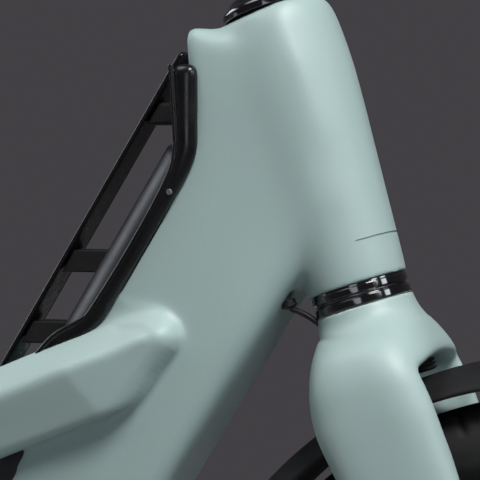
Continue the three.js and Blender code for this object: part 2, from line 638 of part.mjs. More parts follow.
const SPOKES = 16;
function tyreRing() {
  const section = [];
  const points = 8;
  for (let i = 0; i < points; i += 1) {
    const angle = (2 * Math.PI * i) / points;
    section.push([WHEEL_RADIUS - TYRE_HALF + TYRE_HALF * Math.cos(angle), TYRE_HALF * Math.sin(angle)]);
  }
  return wheelTurned(section, 36);
}

function rimWithHub(hubHalf, axleHalf, driver) {
  const rim = wheelTurned([[RIM_RADIUS, -15], [RIM_RADIUS, 15], [186, 15], [186, -15]], 36);
  const hub = spun([[16, -hubHalf], [16, -35], [31, -34], [31, -30], [15, -24], [15, 24], [31, 30], [31, 34],
    [16, 35], [16, hubHalf]], 16).rotateX(-Math.PI / 2);
  const spokes = [];
  for (let i = 0; i < SPOKES; i += 1) {
    const side = i % 2 ? 1 : -1;
    const outer = (2 * Math.PI * i) / SPOKES;
    const inner = outer + (i % 4 < 2 ? 0.9 : -0.9);
    spokes.push(bar(v(28 * Math.cos(inner), side * 32, 28 * Math.sin(inner)),
      v(189 * Math.cos(outer), side * 4, 189 * Math.sin(outer)), 1.7, 3));
  }
  return join(rim, hub, crossBar(0, 0, -axleHalf, axleHalf, AXLE_RADIUS, 12), ...driver, ...spokes);
}

const DISC_RADIUS = 80;
const DISC_BAND = 15;
function brakeDisc(y) {
  const ring = (inner, outer, segments) =>
    wheelTurned([[inner, y], [outer, y], [outer, y + 1.8], [inner, y + 1.8]], segments);
  const arms = [];
  for (let i = 0; i < 5; i += 1) {
    arms.push(block(46, 1.8, 8, 44, y + 0.9, 0).rotateY((2 * Math.PI * i) / 5));
  }
  return join(ring(DISC_RADIUS - DISC_BAND, DISC_RADIUS, 24), ring(17.2, 26, 12), ...arms);
}

const DISC_Y = 41;
add('front_tyre', tyreRing(), TYRE_RUBBER, frontAxle);
add('front_rim', rimWithHub(47, 58, []), BLACK_METAL, frontAxle);
add('front_disc', brakeDisc(DISC_Y), STEEL, frontAxle);
add('rear_tyre', tyreRing(), TYRE_RUBBER, rearAxle);
const driver = crossBar(0, 0, -58, -20, 17, 16);
add('rear_rim', rimWithHub(64.5, 74, [driver]), BLACK_METAL, rearAxle);
add('rear_disc', brakeDisc(DISC_Y), STEEL, rearAxle);

function caliper(x, z, turn) {
  const body = cut(block(50, 26, 34, 0, 0, 0), block(70, 5, 60, 0, -5, -14));
  return body.rotateY(turn).translate(x, DISC_Y + 6, z);
}
add('front_caliper', cut(caliper(-66, 52, -0.9), block(60, 20, 60, -54, 62, 40)), BLACK_METAL, frontAxle);
add('rear_caliper', caliper(66, 50, 0.9), BLACK_METAL, rearAxle);

// ---------- drive ----------

function beltLoop(extra) {
  const span = CRANK_AXLE.x;
  const rise = CRANK_AXLE.z - WHEEL_RADIUS;
  const length = Math.hypot(span, rise);
  const tilt = Math.atan2(rise, span);
  const lean = Math.asin((CHAINRING_RADIUS - SPROCKET_RADIUS) / length);
  const up = Math.PI / 2 + lean;
  const shape = new THREE.Shape();
  shape.absarc(span, CRANK_AXLE.z, CHAINRING_RADIUS + extra, tilt - up, tilt + up, false);
  shape.absarc(0, WHEEL_RADIUS, SPROCKET_RADIUS + extra, tilt + up, tilt - up + 2 * Math.PI, false);
  shape.closePath();
  return shape;
}
const beltShape = beltLoop(3.6);
beltShape.holes.push(new THREE.Path(beltLoop(0.4).getPoints(9).reverse()));
add('drive_belt', sidePlate(beltShape, BELT_Y - 5, BELT_Y + 5, 0, 9), RUBBER);

add('rear_sprocket', wheelTurned([[17.4, BELT_Y - 5], [SPROCKET_RADIUS - 0.2, BELT_Y - 5],
  [SPROCKET_RADIUS - 0.2, BELT_Y + 5], [17.4, BELT_Y + 5]], 28), STEEL, rearAxle);

const ARM_Y = 86;
const crankParts = [crossBar(0, 0, -ARM_Y - 5, ARM_Y + 5, CRANK_BORE - 1, 16)];
crankParts.push(crossBar(0, 0, BELT_Y - 5, BELT_Y + 5, CHAINRING_RADIUS - 0.2, 24));
bothSides((side, sign) => {
  const arm = through(v(0, sign * ARM_Y, 0), v(sign * CRANK_LENGTH * 0.5, sign * ARM_Y, 0),
    v(sign * CRANK_LENGTH, sign * ARM_Y, 0));
  crankParts.push(sweep(arm, 2, 8, (t) => [6.5, mix(15, 12, t), 3]));
  crankParts.push(crossBar(0, 0, sign * (ARM_Y - 7), sign * (ARM_Y + 7), 18, 16));
  crankParts.push(crossBar(sign * CRANK_LENGTH, 0, sign * (ARM_Y - 7), sign * (ARM_Y + 7), 14, 14));
  crankParts.push(crossBar(sign * CRANK_LENGTH, 0, sign * ARM_Y, sign * (ARM_Y + 100), 5, 10));
  const at = v(sign * CRANK_LENGTH, sign * (ARM_Y + 58), 0);
  add(`pedal_${side}`, cut(block(96, 92, 20, at.x, at.y, at.z),
    crossBar(at.x, 0, sign * ARM_Y, sign * (ARM_Y + 120), 5.5, 12),
    block(26, 66, 30, at.x + 30, at.y, 0), block(26, 66, 30, at.x - 30, at.y, 0)), PLASTIC, crankAxle);
});
add('crankset', join(...crankParts), BLACK_METAL, crankAxle);

// ---------- kickstand ----------

const standParts = [crossBar(STAND_PIVOT.x, STAND_PIVOT.z, -62, 62, 8, 12),
  crossBar(STAND_PIVOT.x, STAND_PIVOT.z, -27, 27, 12, 14)];
bothSides((side, sign) => {
  const foot = v(STAND_PIVOT.x - 22, sign * 158, 9);
  standParts.push(bar(v(STAND_PIVOT.x, sign * 56, STAND_PIVOT.z), foot, 9, 10));
  standParts.push(crossBar(STAND_PIVOT.x, STAND_PIVOT.z, sign * 47, sign * 66, 12, 14));
  standParts.push(block(56, 34, 14, foot.x, foot.y, 7));
});
add('kickstand', join(...standParts), BLACK_METAL);

// ---------- seat ----------

const COLLAR_LEVEL = SEAT_TUBE_LENGTH - 16;
const SKEWER_X = -29;
const SKEWER_LEVEL = COLLAR_LEVEL + 9;
const LEVER_PIVOT_Y = 19;
add('seat_clamp', join(
  turned([[SEAT_TUBE_RADIUS + GAP, COLLAR_LEVEL], [24, COLLAR_LEVEL], [24, SEAT_TUBE_LENGTH + 2],
    [SEAT_TUBE_RADIUS + GAP, SEAT_TUBE_LENGTH + 2]], 20),
  block(14, 10, 16, -28, -8, SKEWER_LEVEL),
  block(14, 10, 16, -28, 8, SKEWER_LEVEL),
  crossBar(SKEWER_X, SKEWER_LEVEL, -17, 13.4, 3, 10),
  crossBar(SKEWER_X, SKEWER_LEVEL, -18, -12, 6, 6)), BLACK_METAL, seatTube);
add('seat_clamp_lever', join(
  bar(v(SKEWER_X, LEVER_PIVOT_Y, SKEWER_LEVEL - 6), v(SKEWER_X, LEVER_PIVOT_Y, SKEWER_LEVEL + 6), 5, 12),
  sweep(through(v(SKEWER_X, LEVER_PIVOT_Y, SKEWER_LEVEL), v(-18, 28, SKEWER_LEVEL), v(4, 33, SKEWER_LEVEL),
    v(24, 30, SKEWER_LEVEL)), 6, 8, () => [3, 5, 2.5]),
), BLACK_METAL, seatTube);

const SADDLE_HEIGHT = SEAT_TUBE_LENGTH + 262;
const HEAD_OF_POST = SADDLE_HEIGHT - 42;
add('seatpost', join(
  bar(v(0, 0, 60), v(0, 0, HEAD_OF_POST), POST_RADIUS, 20),
  inSeat(block(52, 44, 22), 0, HEAD_OF_POST),
), BLACK_METAL, seatTube);

// Things on the seatpost that stay level although the seat tube leans.
function inSeat(geometry, x, z) {
  return geometry.rotateY(SEAT_TUBE_LEAN).translate(x, 0, z);
}

const saddleSizes = [
  // distance from the middle, half width, half height
  [-130, 70, 24], [-112, 98, 32], [-60, 100, 33], [-5, 66, 30], [50, 34, 27], [110, 25, 22], [142, 16, 13],
];
const saddle = shaped(new THREE.CylinderGeometry(1, 1, 1, 16, saddleSizes.length - 1), (x, y, z) => {
  const [along, halfWidth, halfHeight] = saddleSizes[Math.round((y + 0.5) * (saddleSizes.length - 1))];
  const under = z < 0 ? 0.62 : 1;
  return v(along, x * halfWidth, z * halfHeight * under + 0.03 * along);
});
add('saddle', inSeat(saddle, -2, SADDLE_HEIGHT + 8), FABRIC, seatTube);

bicycle.position.x = -FOOTPRINT_MIDDLE;
const wholeObject = new THREE.Group();
wholeObject.add(bicycle);

export default wholeObject;
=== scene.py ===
"""A longtail electric cargo bicycle: the looks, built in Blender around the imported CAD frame.

Lengths inside the shape functions are millimetres. Places are measured from the joints that the frame gives:
the lower headset, the two axles, the crank axle and so on.
"""

import json
import math

import bmesh
import bpy
import numpy as np
import openvdb
from mathutils import Matrix, Vector


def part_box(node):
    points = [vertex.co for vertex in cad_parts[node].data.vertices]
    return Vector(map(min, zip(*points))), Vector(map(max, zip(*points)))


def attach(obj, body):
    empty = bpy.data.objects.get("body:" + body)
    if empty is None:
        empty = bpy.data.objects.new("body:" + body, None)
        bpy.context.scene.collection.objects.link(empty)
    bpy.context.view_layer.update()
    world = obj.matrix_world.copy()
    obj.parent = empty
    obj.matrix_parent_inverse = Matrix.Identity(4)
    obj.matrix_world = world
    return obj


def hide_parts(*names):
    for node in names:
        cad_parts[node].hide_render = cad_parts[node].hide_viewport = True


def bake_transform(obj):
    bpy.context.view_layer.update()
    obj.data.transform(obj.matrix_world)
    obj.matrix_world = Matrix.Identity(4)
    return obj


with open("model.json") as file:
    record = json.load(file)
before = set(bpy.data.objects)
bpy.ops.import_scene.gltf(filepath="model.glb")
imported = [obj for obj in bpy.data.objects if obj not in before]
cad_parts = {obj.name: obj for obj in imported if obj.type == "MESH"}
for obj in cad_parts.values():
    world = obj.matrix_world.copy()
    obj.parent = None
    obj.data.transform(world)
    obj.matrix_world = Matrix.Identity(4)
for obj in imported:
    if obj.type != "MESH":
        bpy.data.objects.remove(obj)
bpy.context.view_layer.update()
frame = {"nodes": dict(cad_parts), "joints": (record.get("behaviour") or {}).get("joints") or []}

MM = 0.001
JOINTS = {joint["name"]: joint for joint in frame["joints"]}


def joint_place(name):
    """Where a hinge is, in millimetres."""
    return np.array(JOINTS[name]["pos_m"]) / MM


def unit(vector):
    vector = np.asarray(vector, float)
    return vector / np.linalg.norm(vector)


# ---------- places and driving dimensions, in millimetres ----------

HEADSET = joint_place("steering_turn")
FRONT_AXLE = joint_place("front_wheel_spin")
REAR_AXLE = joint_place("rear_wheel_spin")
CRANK = joint_place("crank_spin")
STAND = joint_place("stand_fold")

FORWARD, ACROSS, UP = np.eye(3)
STEER_UP = unit(JOINTS["steering_turn"]["axis"])
STEER_FORWARD = np.cross(ACROSS, STEER_UP)
SEAT_UP = unit(JOINTS["seat_height"]["axis"])

DOWN_ANGLE = math.radians(58)
DOWN_WAY = np.array([-math.cos(DOWN_ANGLE), 0.0, -math.sin(DOWN_ANGLE)])
DOWN_UP = np.array([-math.sin(DOWN_ANGLE), 0.0, math.cos(DOWN_ANGLE)])
UNDERSIDE = HEADSET + np.array([-37.0, 0.0, 3.0])
TUBE_HALF_WIDTH = 38.0
TUBE_DEPTH = 104.0
TUBE_END = 270.0

# ---------- places named after what is there ----------



def on_bike(x, y, z):
    """A place measured from the point on the ground below the rear axle."""
    return np.array([REAR_AXLE[0] + x, y, z])


def on_steering(x, y, z):
    return HEADSET + x * STEER_FORWARD + y * ACROSS + z * STEER_UP


def on_down_tube(along, height, y=0.0):
    return UNDERSIDE + along * DOWN_WAY + height * DOWN_UP + y * ACROSS


CABLE_SIDE = -14.0
GROMMET_AT = on_down_tube(12, 1.5, CABLE_SIDE)
GROMMET_INSIDE = GROMMET_AT + [-1.2, 0.0, 3.2]
GROMMET_OUTSIDE = GROMMET_AT + [1.6, 0.0, -4.0]
GROMMET_WAY = unit(GROMMET_OUTSIDE - GROMMET_INSIDE)

SEAT_FOOT = on_bike(578, 0, 349)
SEAT_FORWARD = np.cross(ACROSS, SEAT_UP)


def on_seat_tube(x, y, z):
    return SEAT_FOOT + x * SEAT_FORWARD + y * ACROSS + z * SEAT_UP


# ---------- small helpers ----------


def link(obj):
    bpy.context.scene.collection.objects.link(obj)
    return obj


def smoothstep(low, high, x):
    t = np.clip((x - low) / (high - low), 0.0, 1.0)
    return t * t * (3.0 - 2.0 * t)


def lerp(a, b, t):
    return a + (b - a) * t


def mesh_object(name, vertices, faces, smooth=True, sharp_degrees=None):
    """A mesh object from vertices in millimetres."""
    mesh = bpy.data.meshes.new(name)
    mesh.from_pydata([tuple(v) for v in np.asarray(vertices, float) * MM], [], [tuple(f) for f in faces])
    mesh.validate()
    mesh.update()
    if smooth:
        mesh.shade_smooth()
    if sharp_degrees is not None:
        mesh.set_sharp_from_angle(angle=math.radians(sharp_degrees))
    return link(bpy.data.objects.new(name, mesh))


def finish_piece(obj, material, body, replaces=()):
    """Gives a piece its material, hangs it on the body it rides on, and hides the parts it stands for."""
    obj.data.materials.clear()
    obj.data.materials.append(material)
    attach(obj, body)
    if replaces:
        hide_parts(*replaces)
    return obj


def assembled(name, objects, material, body, replaces=()):
    """Joins objects into one finished piece."""
    return finish_piece(merged(name, objects), material, body, replaces)


# ---------- distance fields: pieces with soft blends between their shapes ----------


def smooth_union(a, b, k):
    h = np.maximum(k - np.abs(a - b), 0.0) / k
    return np.minimum(a, b) - h * h * h * k / 6.0


def smooth_cut(a, b, k):
    """a with b taken away."""
    return -smooth_union(-a, b, k)


def rounded(d, w, half, radius):
    """A flat outline distance d given thickness: w is the distance from its middle plane."""
    a = d + radius
    b = np.abs(w) - half + radius
    return np.minimum(np.maximum(a, b), 0.0) + np.hypot(np.maximum(a, 0.0), np.maximum(b, 0.0)) - radius


def segment_distance(x, y, start, end):
    (ax, ay), (bx, by) = start, end
    ex, ey = bx - ax, by - ay
    t = np.clip(((x - ax) * ex + (y - ay) * ey) / (ex * ex + ey * ey), 0.0, 1.0)
    return np.hypot(x - ax - t * ex, y - ay - t * ey)


def polygon_distance(x, y, points):
    """Signed distance to a closed outline, negative inside."""
    points = np.asarray(points, float)
    best = np.full(x.shape, 1e9)
    inside = np.zeros(x.shape, bool)
    for start, end in zip(points, np.roll(points, -1, axis=0)):
        best = np.minimum(best, segment_distance(x, y, start, end))
        ex, ey = end - start
        crosses = (start[1] > y) != (end[1] > y)
        inside ^= crosses & (x < start[0] + ex * (y - start[1]) / (ey if ey else 1e-9))
    return np.where(inside, -best, best)


def blurred(values, voxel, reach):
    """The grid's values, averaged over a bell about reach millimetres wide on each side."""
    kernel = np.hanning(2 * int(round(reach / voxel)) + 3)[1:-1]
    kernel /= kernel.sum()
    margin = len(kernel) // 2
    for axis in range(3):
        ends = [(margin, margin) if i == axis else (0, 0) for i in range(3)]
        padded = np.pad(values, ends, mode="edge")
        total = np.zeros_like(values)
        for k, weight in enumerate(kernel):
            window = [slice(None)] * 3
            window[axis] = slice(k, k + values.shape[axis])
            total += np.float32(weight) * padded[tuple(window)]
        values = total
    return values


class Grid:
    """A field sampled on a grid, softened if need be, and read back between the grid's points."""

    def __init__(self, field, low, high, voxel, soften=0.0, detail=None):
        self.low, self.voxel = np.asarray(low, float), voxel
        counts = np.ceil((np.asarray(high, float) - self.low) / voxel).astype(int) + 1
        self.axes = [self.low[i] + voxel * np.arange(counts[i]) for i in range(3)]
        self.values = self.sample(field)
        if soften:
            self.values = blurred(self.values, voxel, soften)
        if detail:
            self.values = self.sample(lambda p, values: detail(p, values), self.values)

    def sample(self, field, before=None):
        values = np.empty([len(axis) for axis in self.axes], np.float32)
        y, z = np.meshgrid(self.axes[1], self.axes[2], indexing="ij")
        for i, x in enumerate(self.axes[0]):
            p = np.stack([np.full_like(y, x), y, z], -1)
            values[i] = field(p) if before is None else field(p, before[i])
        return values

    def __call__(self, p):
        q = np.clip((p - self.low) / self.voxel, 0.0, np.array(self.values.shape) - 1.001)
        base = q.astype(int)
        part = q - base
        total = 0.0
        for corner in np.ndindex(2, 2, 2):
            weight = np.prod(np.where(corner, part, 1.0 - part), axis=-1)
            at = base + corner
            total = total + weight * self.values[at[..., 0], at[..., 1], at[..., 2]]
        return total

    def mesh(self, name, field=None):
        """The zero surface, pulled onto the exact one."""
        field = field or self
        reach = 3.0 * self.voxel
        grid = openvdb.FloatGrid(reach)
        grid.copyFromArray(np.clip(self.values, -reach, reach))
        points, triangles, quads = grid.convertToPolygons(0.0, 0.0)
        points = self.low + np.asarray(points, float) * self.voxel
        step = 0.35 * self.voxel if field is self else 0.05
        for _ in range(3):
            value = field(points)
            rises = [field(points + step * axis) - field(points - step * axis) for axis in np.eye(3)]
            slope = np.stack(rises, -1) / (2 * step)
            size = np.maximum((slope * slope).sum(-1), 0.15)
            move = -slope * (value / size)[:, None]
            length = np.linalg.norm(move, axis=-1, keepdims=True)
            points = points + move * np.minimum(1.0, 0.6 * self.voxel / np.maximum(length, 1e-9))
        faces = [tuple(int(i) for i in f[::-1]) for f in list(quads) + list(triangles)]
        return mesh_object(name, points, faces)


# ---------- swept, turned and flat shapes ----------


def catmull(points, samples):
    """A smooth curve through points, evenly spaced along its length."""
    points = np.asarray(points, float)
    ends = np.vstack([2 * points[0] - points[1], points, 2 * points[-1] - points[-2]])
    dense = []
    for p0, p1, p2, p3 in zip(ends[:-3], ends[1:-2], ends[2:-1], ends[3:]):
        for t in np.linspace(0.0, 1.0, 40, endpoint=False):
            dense.append(0.5 * (2 * p1 + (p2 - p0) * t + (2 * p0 - 5 * p1 + 4 * p2 - p3) * t**2
                                + (3 * p1 - p0 - 3 * p2 + p3) * t**3))
    return along_path(dense + [points[-1]], samples)


def ring_faces(rings, sides, closed_ends=True, closed_loop=False):
    faces = []
    for i in range(rings if closed_loop else rings - 1):
        for k in range(sides):
            a, b = i * sides + k, i * sides + (k + 1) % sides
            c, d = ((i + 1) % rings) * sides + (k + 1) % sides, ((i + 1) % rings) * sides + k
            faces.append((a, b, c, d))
    if closed_ends and not closed_loop:
        faces.append(tuple(range(sides))[::-1])
        faces.append(tuple((rings - 1) * sides + k for k in range(sides)))
    return faces


def eased(x, places, sizes):
    """sizes at places, read as one smooth curve."""
    curve = catmull(np.stack([places, sizes, np.zeros(len(places))], -1), 300)
    return np.interp(x, curve[:, 0], curve[:, 1])


def swept(name, path, section, up=(0.0, 0.0, 1.0), sharp_degrees=40):
    """section(t) gives the outline points (across, up) at each place along the path."""
    path = np.asarray(path, float)
    ways = np.gradient(path, axis=0)
    ways /= np.linalg.norm(ways, axis=1, keepdims=True)
    vertices = []
    sides = None
    for i, (place, way) in enumerate(zip(path, ways)):
        outline = np.asarray(section(i / (len(path) - 1)), float)
        sides = len(outline)
        side = unit(np.cross(np.asarray(up, float), way))
        rise = np.cross(way, side)
        vertices.extend(place + outline[:, :1] * side + outline[:, 1:] * rise)
    obj = mesh_object(name, vertices, ring_faces(len(path), sides), sharp_degrees=sharp_degrees)
    return face_out(obj)


def face_out(obj):
    """Turns every face outwards."""
    bm = bmesh.new()
    bm.from_mesh(obj.data)
    bmesh.ops.recalc_face_normals(bm, faces=bm.faces)
    bm.to_mesh(obj.data)
    bm.free()
    return obj


def oval(half_width, half_height, square=2.0, sides=32):
    angles = np.linspace(0.0, 2 * math.pi, sides, endpoint=False)
    c, s = np.cos(angles), np.sin(angles)
    power = 2.0 / square
    return np.stack([np.sign(c) * np.abs(c) ** power * half_width,
                     np.sign(s) * np.abs(s) ** power * half_height], -1)


def round_bar(name, points, radius, samples=48, sides=24, up=(0.0, 0.0, 1.0)):
    outline = oval(radius, radius, sides=sides)
    return swept(name, catmull(points, samples), lambda t: outline, up=up)


def frame_matrix(origin, axis, forward):
    """Axes for a turned shape: its own z along axis, its own x along forward."""
    axis = unit(axis)
    x = unit(np.asarray(forward, float) - np.dot(forward, axis) * axis)
    y = np.cross(axis, x)
    return np.asarray(origin, float), x, y, axis


def turned(name, profile, origin, axis, segments=96, forward=(1.0, 0.0, 0.0), sharp_degrees=35):
    """A closed profile of (radius, height) corners, turned about an axis."""
    origin, x, y, z = frame_matrix(origin, axis, forward)
    profile = np.asarray(profile, float)
    vertices = []
    for angle in full_turn(segments):
        way = math.cos(angle) * x + math.sin(angle) * y
        vertices.extend(origin + profile[:, :1] * way + profile[:, 1:] * z)
    faces = ring_faces(segments, len(profile), closed_loop=True)
    obj = mesh_object(name, vertices, faces, sharp_degrees=sharp_degrees)
    clean(obj)
    weights = face_out(obj).modifiers.new("weights", "WEIGHTED_NORMAL")
    weights.keep_sharp = True
    return applied(obj)


def clean(obj, distance=1e-6):
    bm = bmesh.new()
    bm.from_mesh(obj.data)
    bmesh.ops.remove_doubles(bm, verts=bm.verts, dist=distance)
    bmesh.ops.dissolve_degenerate(bm, edges=bm.edges, dist=distance)
    bm.to_mesh(obj.data)
    bm.free()
    return obj


def rounded_profile(corners, radius, steps=4):
    """A closed profile with every corner rounded off."""
    corners = np.asarray(corners, float)
    points = []
    for before, at, after in zip(np.roll(corners, 1, axis=0), corners, np.roll(corners, -1, axis=0)):
        reach = min(radius, 0.45 * np.linalg.norm(before - at), 0.45 * np.linalg.norm(after - at))
        start = at + unit(before - at) * reach
        end = at + unit(after - at) * reach
        for t in np.linspace(0.0, 1.0, steps):
            points.append((1 - t) ** 2 * start + 2 * t * (1 - t) * at + t**2 * end)
    return np.array(points)


def beveled(obj, width, segments=3, degrees=30):
    """Rounds an object's sharp edges, in millimetres, and applies the result."""
    modifier = obj.modifiers.new("edges", "BEVEL")
    modifier.width = width * MM
    modifier.segments = segments
    modifier.limit_method = "ANGLE"
    modifier.angle_limit = math.radians(degrees)
    modifier.use_clamp_overlap = True
    applied(obj)
    obj.data.shade_smooth()
    obj.data.set_sharp_from_angle(angle=math.radians(50))
    weights = obj.modifiers.new("weights", "WEIGHTED_NORMAL")
    weights.keep_sharp = True
    return applied(obj)


def applied(obj):
    """Applies all of an object's modifiers."""
    graph = bpy.context.evaluated_depsgraph_get()
    graph.update()
    mesh = bpy.data.meshes.new_from_object(obj.evaluated_get(graph), preserve_all_data_layers=True,
                                           depsgraph=graph)
    obj.modifiers.clear()
    obj.data = mesh
    return obj


def copy_of(node, name=None):
    """A loose copy of a CAD node's mesh, with its flat faces made whole."""
    mesh = frame["nodes"][node].data.copy()
    obj = link(bpy.data.objects.new(name or node + "_piece", mesh))
    bm = bmesh.new()
    bm.from_mesh(mesh)
    bmesh.ops.remove_doubles(bm, verts=bm.verts, dist=2e-5)
    bmesh.ops.dissolve_limit(bm, angle_limit=math.radians(1.5), verts=bm.verts, edges=bm.edges)
    bm.to_mesh(mesh)
    bm.free()
    return obj


def flat_piece(name, loops, thickness, origin, axis, forward, bevel=0.0):
    """A plate cut to the first loop, with the other loops as holes; each loop is (x, y) points."""
    curve = bpy.data.curves.new(name, "CURVE")
    curve.dimensions = "2D"
    curve.fill_mode = "BOTH"
    curve.extrude = (thickness / 2 - bevel) * MM
    curve.bevel_depth = bevel * MM
    curve.bevel_resolution = 2
    curve.offset = -bevel * MM
    for loop in loops:
        spline = curve.splines.new("POLY")
        spline.points.add(len(loop) - 1)
        for point, (x, y) in zip(spline.points, loop):
            point.co = (x * MM, y * MM, 0.0, 1.0)
        spline.use_cyclic_u = True
    holder = link(bpy.data.objects.new(name + "_outline", curve))
    origin, x, y, z = frame_matrix(origin, axis, forward)
    place = Matrix([[x[i], y[i], z[i], origin[i] * MM] for i in range(3)] + [[0, 0, 0, 1]])
    graph = bpy.context.evaluated_depsgraph_get()
    mesh = bpy.data.meshes.new_from_object(holder.evaluated_get(graph))
    mesh.transform(place)
    mesh.name = name
    bpy.data.objects.remove(holder)
    obj = link(bpy.data.objects.new(name, mesh))
    clean(obj)
    face_out(obj)
    obj.data.shade_smooth()
    obj.data.set_sharp_from_angle(angle=math.radians(35))
    return obj


def around(radius, angle, centre=(0.0, 0.0)):
    """A point on a circle."""
    return centre[0] + radius * math.cos(angle), centre[1] + radius * math.sin(angle)


def full_turn(count):
    """Evenly spaced angles."""
    return [2 * math.pi * k / count for k in range(count)]


def circle(radius, count=64, centre=(0.0, 0.0)):
    return [around(radius, angle, centre) for angle in full_turn(count)]


def beside(axle, radius, angle, y=0.0):
    """A place on an upright circle about an axle."""
    x, z = around(radius, angle)
    return axle + [x, y, z]


def along_path(points, count, end=True):
    """Evenly spaced places on a row of points."""
    points = np.asarray(points, float)
    run = np.concatenate([[0.0], np.cumsum(np.linalg.norm(np.diff(points, axis=0), axis=1))])
    wanted = np.linspace(0.0, run[-1], count, endpoint=end)
    return np.stack([np.interp(wanted, run, column) for column in points.T], -1)


# ---------- materials ----------


def new_material(name, colour, roughness, metallic=0.0, specular=0.5, coat=0.0, coat_roughness=0.03):
    material = bpy.data.materials.new(name)
    material.use_nodes = True
    shader = material.node_tree.nodes["Principled BSDF"]
    shader.inputs["Base Color"].default_value = (*colour, 1.0)
    shader.inputs["Roughness"].default_value = roughness
    shader.inputs["Metallic"].default_value = metallic
    shader.inputs["Specular IOR Level"].default_value = specular
    shader.inputs["Coat Weight"].default_value = coat
    shader.inputs["Coat Roughness"].default_value = coat_roughness
    return material


def noise(material, scale, detail=2.0, stretch=(1.0, 1.0, 1.0)):
    """A noise texture in the object's own coordinates."""
    nodes, links = material.node_tree.nodes, material.node_tree.links
    place = nodes.new("ShaderNodeTexCoord")
    mapping = nodes.new("ShaderNodeMapping")
    mapping.inputs["Scale"].default_value = stretch
    texture = nodes.new("ShaderNodeTexNoise")
    texture.inputs["Scale"].default_value = scale
    texture.inputs["Detail"].default_value = detail
    links.new(place.outputs["Object"], mapping.inputs["Vector"])
    links.new(mapping.outputs["Vector"], texture.inputs["Vector"])
    return texture


def vary_roughness(material, texture, low, high):
    nodes, links = material.node_tree.nodes, material.node_tree.links
    spread = nodes.new("ShaderNodeMapRange")
    spread.inputs["From Min"].default_value = 0.3
    spread.inputs["From Max"].default_value = 0.7
    spread.inputs["To Min"].default_value = low
    spread.inputs["To Max"].default_value = high
    links.new(texture.outputs["Fac"], spread.inputs["Value"])
    links.new(spread.outputs["Result"], nodes["Principled BSDF"].inputs["Roughness"])


def vary_colour(material, texture, first, second, low=0.35, high=0.65):
    nodes, links = material.node_tree.nodes, material.node_tree.links
    ramp = nodes.new("ShaderNodeValToRGB")
    ramp.color_ramp.elements[0].position = low
    ramp.color_ramp.elements[0].color = (*first, 1.0)
    ramp.color_ramp.elements[1].position = high
    ramp.color_ramp.elements[1].color = (*second, 1.0)
    links.new(texture.outputs["Fac"], ramp.inputs["Fac"])
    links.new(ramp.outputs["Color"], nodes["Principled BSDF"].inputs["Base Color"])


def add_bump(material, heights, strength, distance):
    """Bump from one or more textures, one after another."""
    nodes, links = material.node_tree.nodes, material.node_tree.links
    before = None
    for texture, share in heights:
        bump = nodes.new("ShaderNodeBump")
        bump.inputs["Strength"].default_value = strength * share
        bump.inputs["Distance"].default_value = distance
        links.new(texture.outputs["Fac" if "Fac" in texture.outputs else "Distance"], bump.inputs["Height"])
        if before is not None:
            links.new(before.outputs["Normal"], bump.inputs["Normal"])
        before = bump
    links.new(before.outputs["Normal"], nodes["Principled BSDF"].inputs["Normal"])


def tinted(colour, factor):
    return tuple(c * factor for c in colour)


MINT = (0.36, 0.482, 0.468)


def make_paint():
    """Satin mint paint: fine orange peel, a trace of sparkle and a soft clear coat."""
    material = new_material("mint_paint", MINT, 0.46, specular=0.5, coat=0.15, coat_roughness=0.4)
    flake = noise(material, 2600.0, 1.0)
    vary_colour(material, flake, tinted(MINT, 0.96), tinted(MINT, 1.035))
    vary_roughness(material, noise(material, 9.0, 3.0), 0.44, 0.5)
    add_bump(material, [(noise(material, 420.0, 2.0), 1.0), (flake, 0.5)], 0.05, 0.0002)
    return material


def make_plastic(name, colour, roughness, grain=900.0, strength=0.12):
    """Moulded plastic with a fine spark-eroded grain."""
    material = new_material(name, colour, roughness)
    vary_colour(material, noise(material, 30.0, 3.0), tinted(colour, 0.85), tinted(colour, 1.15))
    vary_roughness(material, noise(material, 55.0, 3.0), roughness - 0.05, roughness + 0.06)
    add_bump(material, [(noise(material, grain, 2.0), 1.0)], strength, 0.0002)
    return material


def make_metal(name, colour, roughness, metallic=1.0, stretch=(1.0, 1.0, 1.0), strength=0.05):
    material = new_material(name, colour, roughness, metallic)
    vary_roughness(material, noise(material, 120.0, 3.0, stretch), roughness - 0.06, roughness + 0.07)
    add_bump(material, [(noise(material, 700.0, 2.0, stretch), 1.0)], strength, 0.0001)
    return material


def make_rubber(name, colour, roughness, grain=500.0):
    material = new_material(name, colour, roughness, specular=0.35)
    vary_colour(material, noise(material, 14.0, 4.0), tinted(colour, 0.8), tinted(colour, 1.3))
    vary_roughness(material, noise(material, 40.0, 3.0), roughness - 0.08, roughness + 0.06)
    add_bump(material, [(noise(material, grain, 3.0), 1.0)], 0.25, 0.0003)
    return material


def make_smooth(name, colour, roughness, low, high, scale, detail=2.0, **finish):
    """A smooth material whose roughness wanders from low to high."""
    material = new_material(name, colour, roughness, **finish)
    vary_roughness(material, noise(material, scale, detail), low, high)
    return material


